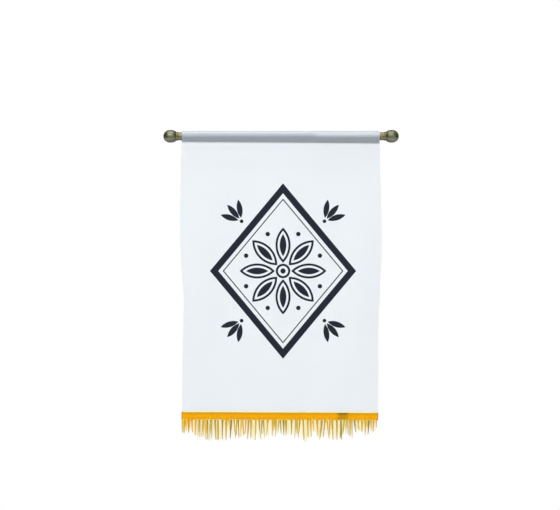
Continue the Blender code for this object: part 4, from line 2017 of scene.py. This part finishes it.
@dataclass
class GoldFringe:
    """The heading tape with its braid, its sewing and the yarns that hang from it."""

    shape: HungShape
    material: bpy.types.Material
    thread: bpy.types.Material
    seam: bpy.types.NodeTree
    yarn: bpy.types.NodeTree
    left: float = -102.0 * MM
    right: float = 99.3 * MM
    top_left: float = -283.0 * MM
    top_right: float = -283.9 * MM
    height: float = 7.45 * MM
    depth: float = 1.25 * MM
    clear: float = 0.45 * MM
    stations: int = 240
    tape_rows: int = 14
    tape_tone: float = 0.7
    tape_edge: float = 0.35
    edge_roundness: int = 5
    end_inset: float = 0.4 * MM
    bead: Seam = Seam(pitch=0.95 * MM, length=1.75 * MM, width=0.85 * MM, height=0.62 * MM, seed=20)
    binding: Seam = Seam(
        pitch=0.6 * MM, length=0.95 * MM, width=0.65 * MM, height=0.6 * MM, lean_degrees=80.0,
        tones=(0.10, 0.34), seed=41,
    )
    binding_proud: float = 0.12 * MM
    binding_span: tuple[float, float] = (-0.02, 0.98)
    binding_points: int = 14
    stitch: Seam = Seam(
        pitch=2.7 * MM, length=1.7 * MM, width=0.3 * MM, height=0.24 * MM, tones=(0.4, 0.6), seed=31
    )
    stitch_proud: float = 0.22 * MM
    stitch_shares: tuple[float, float] = (0.16, 0.83)
    layer_drift: float = 0.9 * MM
    front_root: float = 0.72
    rear_root: float = 0.28
    lean_power: float = 1.5
    drift_power: int = 2
    taper_power: float = 1.2
    yarn_radius: float = 0.34 * MM
    yarn_spacing: float = 0.46 * MM
    fullness: float = 0.45 * MM
    yarn_points: int = 14
    yarn_seed: int = 3
    root_inside: float = 1.2 * MM
    lock_tones: tuple[float, ...] = (0.18, 0.34, 0.44, 0.50, 0.56, 0.64)
    tone_seed: int = 5
    wisp_radius: float = 0.24 * MM
    wisp_root: float = 1.15
    wisp_pitch: float = 0.72 * MM
    wisp_tone: float = 1.25
    wisp_seed: int = 11
    wisp_lengths: tuple[float, float] = (0.86, 1.16)
    wisp_stray: float = 0.4

    def build(self) -> list[bpy.types.Object]:
        """Build the tape, its braid and the yarns and hand them over.

        Returns:
            The pieces that hang from the panel.
        """
        tape = self._tape()
        braid = self._braid()
        yarns = self._yarns("fringe_yarns", self._toned(), self.yarn_radius, 1.0)
        wisps = self._yarns("fringe_wisps", self._wisps(), self.wisp_radius, self.wisp_root)
        stitches = self._stitches()
        hand_over(tape, "fringe_gold", "fringe")
        for piece in (braid, yarns, wisps, stitches):
            hand_over(piece, "fringe_gold")
        return [tape, braid, yarns, wisps, stitches]

    def top(self, x: Any) -> np.ndarray:
        """Height of the tape's upper edge, which slopes a little."""
        share = (np.asarray(x, dtype=float) - self.left) / (self.right - self.left)
        return self.top_left + (self.top_right - self.top_left) * share

    def back(self, x: Any) -> np.ndarray:
        """Depth of the tape's back face."""
        return self.shape.depth(x, self.top(x) - self.height / 2) - self.clear

    def _tape(self) -> bpy.types.Object:
        """The tape's flat ground, its long edges rounded.

        Returns:
            The tape.
        """
        xs = np.linspace(self.left, self.right, self.stations)
        downs = np.linspace(0.0, 1.0, self.tape_rows)
        x = np.repeat(xs[None, :], self.tape_rows, axis=0)
        z = self.top(xs)[None, :] - self.height * downs[:, None]
        roundness = 1.0 - np.abs(2.0 * downs - 1.0) ** self.edge_roundness
        back = self.back(xs)[None, :] + np.zeros_like(x)
        thick = self.depth * (self.tape_edge + (1.0 - self.tape_edge) * roundness)[:, None]
        front_grid = np.stack((x, back - thick, z), axis=-1)
        back_grid = np.stack((x, back, z), axis=-1)
        flat = np.stack((x, z), axis=-1)
        piece = closed_sheet("fringe_tape", front_grid, back_grid, flat, self.material)
        tones = np.full(len(piece.data.vertices), self.tape_tone, dtype=np.float32)
        name_values(piece.data, TONE, "FLOAT", tones)
        return piece

    def _row_line(self, share: float, proud: float) -> np.ndarray:
        """A line along the tape's front, a share of the way down.

        Args:
            share: how far down the tape.
            proud: how far in front of it.

        Returns:
            The points of the line.
        """
        xs = np.linspace(self.left + self.end_inset, self.right - self.end_inset, self.stations)
        z = self.top(xs) - self.height * share
        return np.stack((xs, self.back(xs) - self.depth - proud, z), axis=-1)

    def _braid(self) -> bpy.types.Object:
        """Rows of slanting beads that make the woven face of the tape.

        Returns:
            The braid as one piece.
        """
        made = [self._binding()]
        for order, row in enumerate(BRAID):
            beads = replace(
                self.bead,
                length=self.bead.length * row.size,
                width=self.bead.width * row.size,
                height=self.bead.height * row.size,
                lean_degrees=row.lean,
                tones=row.tones,
                seed=self.bead.seed + order,
            )
            line = self._row_line(row.share, row.proud * MM)
            made.append(
                sew(f"braid_{order}", [line], facing_front([line]), beads, self.seam, self.material)
            )
        return merge_pieces("fringe_braid", made)

    def _binding(self) -> bpy.types.Object:
        """Beads down each end of the tape, where it is bound off.

        Returns:
            The beads of both ends.
        """
        lines = []
        for x in (self.left + self.end_inset, self.right - self.end_inset):
            downs = np.linspace(*self.binding_span, self.binding_points)
            z = float(self.top(x)) - self.height * downs
            y = np.full_like(z, float(self.back(x)) - self.depth - self.binding_proud)
            lines.append(np.stack((np.full_like(z, x), y, z), axis=-1))
        return sew("braid_ends", lines, facing_front(lines), self.binding, self.seam, self.material)

    def _stitches(self) -> bpy.types.Object:
        """The thread that sews the tape to the panel."""
        lines = [self._row_line(share, self.stitch_proud) for share in self.stitch_shares]
        return sew("tape_stitches", lines, facing_front(lines), self.stitch, self.seam, self.thread)

    def _yarns(self, title: str, locks: Sequence[LockRow], radius: float, root: float) -> bpy.types.Object:
        """Bunches of yarn, one for each lock, that narrow to the lock's tip.

        Args:
            title: the piece's name.
            locks: the locks.
            radius: half the thickness of one yarn.
            root: how much thicker a yarn is where it leaves the tape.

        Returns:
            The piece.
        """
        lines: list[list[tuple[float, float, float]]] = []
        held: dict[str, list[float]] = {"spread": [], ALONG: [], "yarns": [], "lock": [], TONE: []}
        for order, row in enumerate(locks):
            points, widths, shares = self._lock_line(row, front=order % 2 == 0)
            lines.append(points)
            held["spread"] += widths
            held[ALONG] += shares
            held["yarns"] += [float(self._yarn_count(row))] * len(points)
            held["lock"] += [float(order)] * len(points)
            held[TONE] += [row.tone] * len(points)
        guides = line_mesh(title, lines)
        for name, values in held.items():
            name_values(guides, name, "FLOAT", np.array(values, dtype=np.float32))
        inputs = {
            "Yarn Radius": radius,
            "Root Share": root,
            "Seed": self.yarn_seed,
            "Material": self.material,
        }
        return grow(title, guides, self.yarn, inputs)

    def _toned(self) -> list[LockRow]:
        """The locks, each in one of a few tones of gold."""
        chance = random.Random(self.tone_seed)
        return [row._replace(tone=chance.choice(self.lock_tones)) for row in LOCKS]

    def _wisps(self) -> list[LockRow]:
        """Thin pale yarns that hang loose in the gaps between the locks.

        Returns:
            A row for each yarn, with no width.
        """
        chance = random.Random(self.wisp_seed)
        made = []
        for left, right in zip(LOCKS, LOCKS[1:]):
            start = left.x + left.width / 2.0
            gap = right.x - right.width / 2.0 - start
            count = max(1, round(gap * MM / self.wisp_pitch))
            for order in range(count):
                share = (order + 0.5) / count
                length = left.length + (right.length - left.length) * share
                lean = left.lean + (right.lean - left.lean) * share
                length *= chance.uniform(*self.wisp_lengths)
                lean += chance.uniform(-self.wisp_stray, self.wisp_stray)
                made.append(LockRow(start + gap * share, 0.0, length, lean, 0.0, self.wisp_tone))
        return made

    def _yarn_count(self, row: LockRow) -> int:
        """How many yarns lie side by side in a lock's root: one in a wisp.

        Args:
            row: the lock.

        Returns:
            The number of yarns.
        """
        if row.width == 0.0:
            return 1
        spread = row.width * MM + self.fullness - 2.0 * self.yarn_radius
        return max(2, round(spread / self.yarn_spacing) + 1)

    def _lock_line(
        self, row: LockRow, front: bool
    ) -> tuple[list[tuple[float, float, float]], list[float], list[float]]:
        """A lock's middle line from inside the tape to its tip.

        Args:
            row: the lock.
            front: whether it hangs in the front layer.

        Returns:
            The line's points, the lock's width at each and how far along each lies.
        """
        centre = row.x * MM
        drift = -self.layer_drift if front else self.layer_drift
        root_y = float(self.back(centre)) - self.depth * (self.front_root if front else self.rear_root)
        low = float(self.top(centre)) - self.height
        wide = row.width * MM + self.fullness - 2.0 * self.yarn_radius
        narrow = max(row.tip * MM + self.fullness - 2.0 * self.yarn_radius, 0.0)
        points, widths, shares = [], [], []
        for step in range(self.yarn_points):
            share = step / (self.yarn_points - 1)
            points.append((
                centre + row.lean * MM * share ** self.lean_power,
                root_y + drift * share ** self.drift_power,
                low + self.root_inside - (row.length * MM + self.root_inside) * share,
            ))
            widths.append(wide + (narrow - wide) * share ** self.taper_power)
            shares.append(share)
        return points, widths, shares


def facing_front(lines: Sequence[np.ndarray]) -> list[np.ndarray]:
    """For each line's points, the way that the tape's front faces."""
    return [np.tile((0.0, -1.0, 0.0), (len(line), 1)) for line in lines]


def merge_pieces(name: str, pieces: Sequence[bpy.types.Object]) -> bpy.types.Object:
    """Join several pieces of one finish into one.

    Args:
        name: the joined piece's name.
        pieces: the pieces, which are used up.

    Returns:
        The joined piece.
    """
    work = bmesh.new()
    for piece in pieces:
        work.from_mesh(piece.data)
    mesh = bpy.data.meshes.new(name)
    work.to_mesh(mesh)
    work.free()
    mesh.materials.append(pieces[0].data.materials[0])
    for piece in pieces:
        bpy.data.objects.remove(piece, do_unlink=True)
    made = bpy.data.objects.new(name, mesh)
    bpy.context.scene.collection.objects.link(made)
    return made


# =========================================================================== studio
class LampRow(NamedTuple):
    """A square soft light: its name, place, width and power."""

    name: str
    place: tuple[float, float, float]
    size: float
    power: float


@dataclass
class Studio:
    """Pale floor, soft lights and the camera."""

    view_width: float = 0.5747
    view_centre: tuple[float, float] = (-0.0011, -0.1218)
    lens: float = 120.0
    sensor: float = 36.0
    floor_drop: float = 0.70
    floor_radius: float = 4.0
    floor_sides: int = 96
    floor_tone: Colour = (0.97, 0.97, 0.97)
    sky: Ramp = Ramp(0.5, 1.0, 0.22, 1.25)
    shade_behind: Ramp = Ramp(0.0, 0.8, 0.0, 0.05)
    lamps: tuple[LampRow, ...] = (
        LampRow("key", (-0.4, -2.0, 1.0), 1.6, 24.5),
        LampRow("fill", (1.1, -2.0, 0.2), 1.6, 6.0),
        LampRow("top", (-0.1, 0.05, 1.2), 1.2, 16.0),
    )

    def build(self) -> None:
        """Set the stage."""
        self._camera()
        self._floor()
        self._world()
        for lamp in self.lamps:
            self._light(lamp)
        bpy.context.scene.view_settings.view_transform = "Standard"
        log.info("studio ready")

    def _camera(self) -> None:
        """A long lens, square on to the banner."""
        data = bpy.data.cameras.new("camera")
        data.lens = self.lens
        data.sensor_width = self.sensor
        camera = bpy.data.objects.new("camera", data)
        distance = self.view_width * self.lens / self.sensor
        camera.location = (self.view_centre[0], -distance, self.view_centre[1])
        camera.rotation_euler = (math.pi / 2, 0.0, 0.0)
        bpy.context.scene.collection.objects.link(camera)
        bpy.context.scene.camera = camera

    def _floor(self) -> None:
        """A plain pale disc under the banner."""
        made, _, shader = principled("studio_floor")
        shader.inputs["Base Color"].default_value = linear(self.floor_tone)
        shader.inputs["Roughness"].default_value = 0.9
        work = bmesh.new()
        bmesh.ops.create_circle(
            work, cap_ends=True, segments=self.floor_sides, radius=self.floor_radius
        )
        mesh = bpy.data.meshes.new("studio_floor")
        work.to_mesh(mesh)
        work.free()
        mesh.transform(Matrix.Translation((0.0, 0.0, CAD_BOX[0][2] - self.floor_drop)))
        mesh.materials.append(made)
        floor = bpy.data.objects.new("studio_floor", mesh)
        bpy.context.scene.collection.objects.link(floor)

    def _world(self) -> None:
        """A white backdrop for the eye and softer light for the object."""
        world = bpy.data.worlds.new("studio_world")
        world.use_nodes = True
        tree = world.node_tree
        tree.nodes.clear()
        sight = add_node(tree, "ShaderNodeBackground", {"Color": (1.0, 1.0, 1.0, 1.0), "Strength": 1.0})
        place = Field(tree, tree.nodes.new("ShaderNodeTexCoord").outputs["Generated"])
        _, behind, height = split(tree, place)
        glow = height.ramp(*self.sky) - behind.ramp(*self.shade_behind)
        light = add_node(tree, "ShaderNodeBackground", {"Color": (1.0, 1.0, 1.0, 1.0), "Strength": glow})
        path = tree.nodes.new("ShaderNodeLightPath")
        mix = tree.nodes.new("ShaderNodeMixShader")
        attach(tree, mix.inputs[0], path.outputs["Is Camera Ray"])
        attach(tree, mix.inputs[1], light.outputs[0])
        attach(tree, mix.inputs[2], sight.outputs[0])
        out = tree.nodes.new("ShaderNodeOutputWorld")
        attach(tree, out.inputs["Surface"], mix.outputs[0])
        bpy.context.scene.world = world

    def _light(self, row: LampRow) -> None:
        """Hang a light and aim it at the banner's middle.

        Args:
            row: the light.
        """
        data = bpy.data.lights.new(row.name, "AREA")
        data.size = row.size
        data.energy = row.power
        lamp = bpy.data.objects.new(row.name, data)
        lamp.location = row.place
        aim = Vector((0.0, 0.0, self.view_centre[1])) - Vector(row.place)
        lamp.rotation_euler = aim.to_track_quat("-Z", "Y").to_euler()
        lamp.visible_camera = False
        bpy.context.scene.collection.objects.link(lamp)


# ============================================================================= main
PRINT_MIDDLE = (2.0 * MM, -138.2 * MM)
GREY_THREAD: Colour = (0.66, 0.69, 0.73)
WHITE_THREAD: Colour = (0.93, 0.95, 0.97)
GOLD_THREAD: Colour = (0.93, 0.66, 0.08)


def dress_rod(material: bpy.types.Material) -> None:
    """Give the frame's own rod its finish.

    Args:
        material: the finish.
    """
    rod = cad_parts["rod"]
    rod.data.materials.clear()
    rod.data.materials.append(material)
    log.info("rod: the frame's own solid, dressed")


def main() -> None:
    """Build every sub-assembly in order."""
    logging.basicConfig(level=logging.INFO, format="%(name)s: %(message)s")
    Studio().build()
    effects = Effects()
    shape = HungShape()
    seam = seam_tree()
    gold = GoldYarn(effects).make()
    collar_face = float(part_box("finial_right")[0][0])
    Finials(AntiqueBrass(effects, "finial_brass", face=collar_face).make()).build()
    dress_rod(AntiqueBrass(effects, "rod_gold").make())
    grey_thread = Thread(effects, "grey_thread", GREY_THREAD).make()
    white_thread = Thread(effects, "white_thread", WHITE_THREAD, roughness=0.6).make()
    gold_thread = Thread(effects, "gold_thread", GOLD_THREAD).make()
    SatinHeading(Satin(effects).make(), grey_thread, seam).build()
    panel = PrintedPanel(shape, PanelCloth(effects, PRINT_MIDDLE).make(), white_thread, seam)
    cloth, sewn = panel.build()
    hanging = GoldFringe(shape, gold, gold_thread, seam, yarn_tree()).build()
    panel.flat_size()


if __name__ == "__main__":
    main()
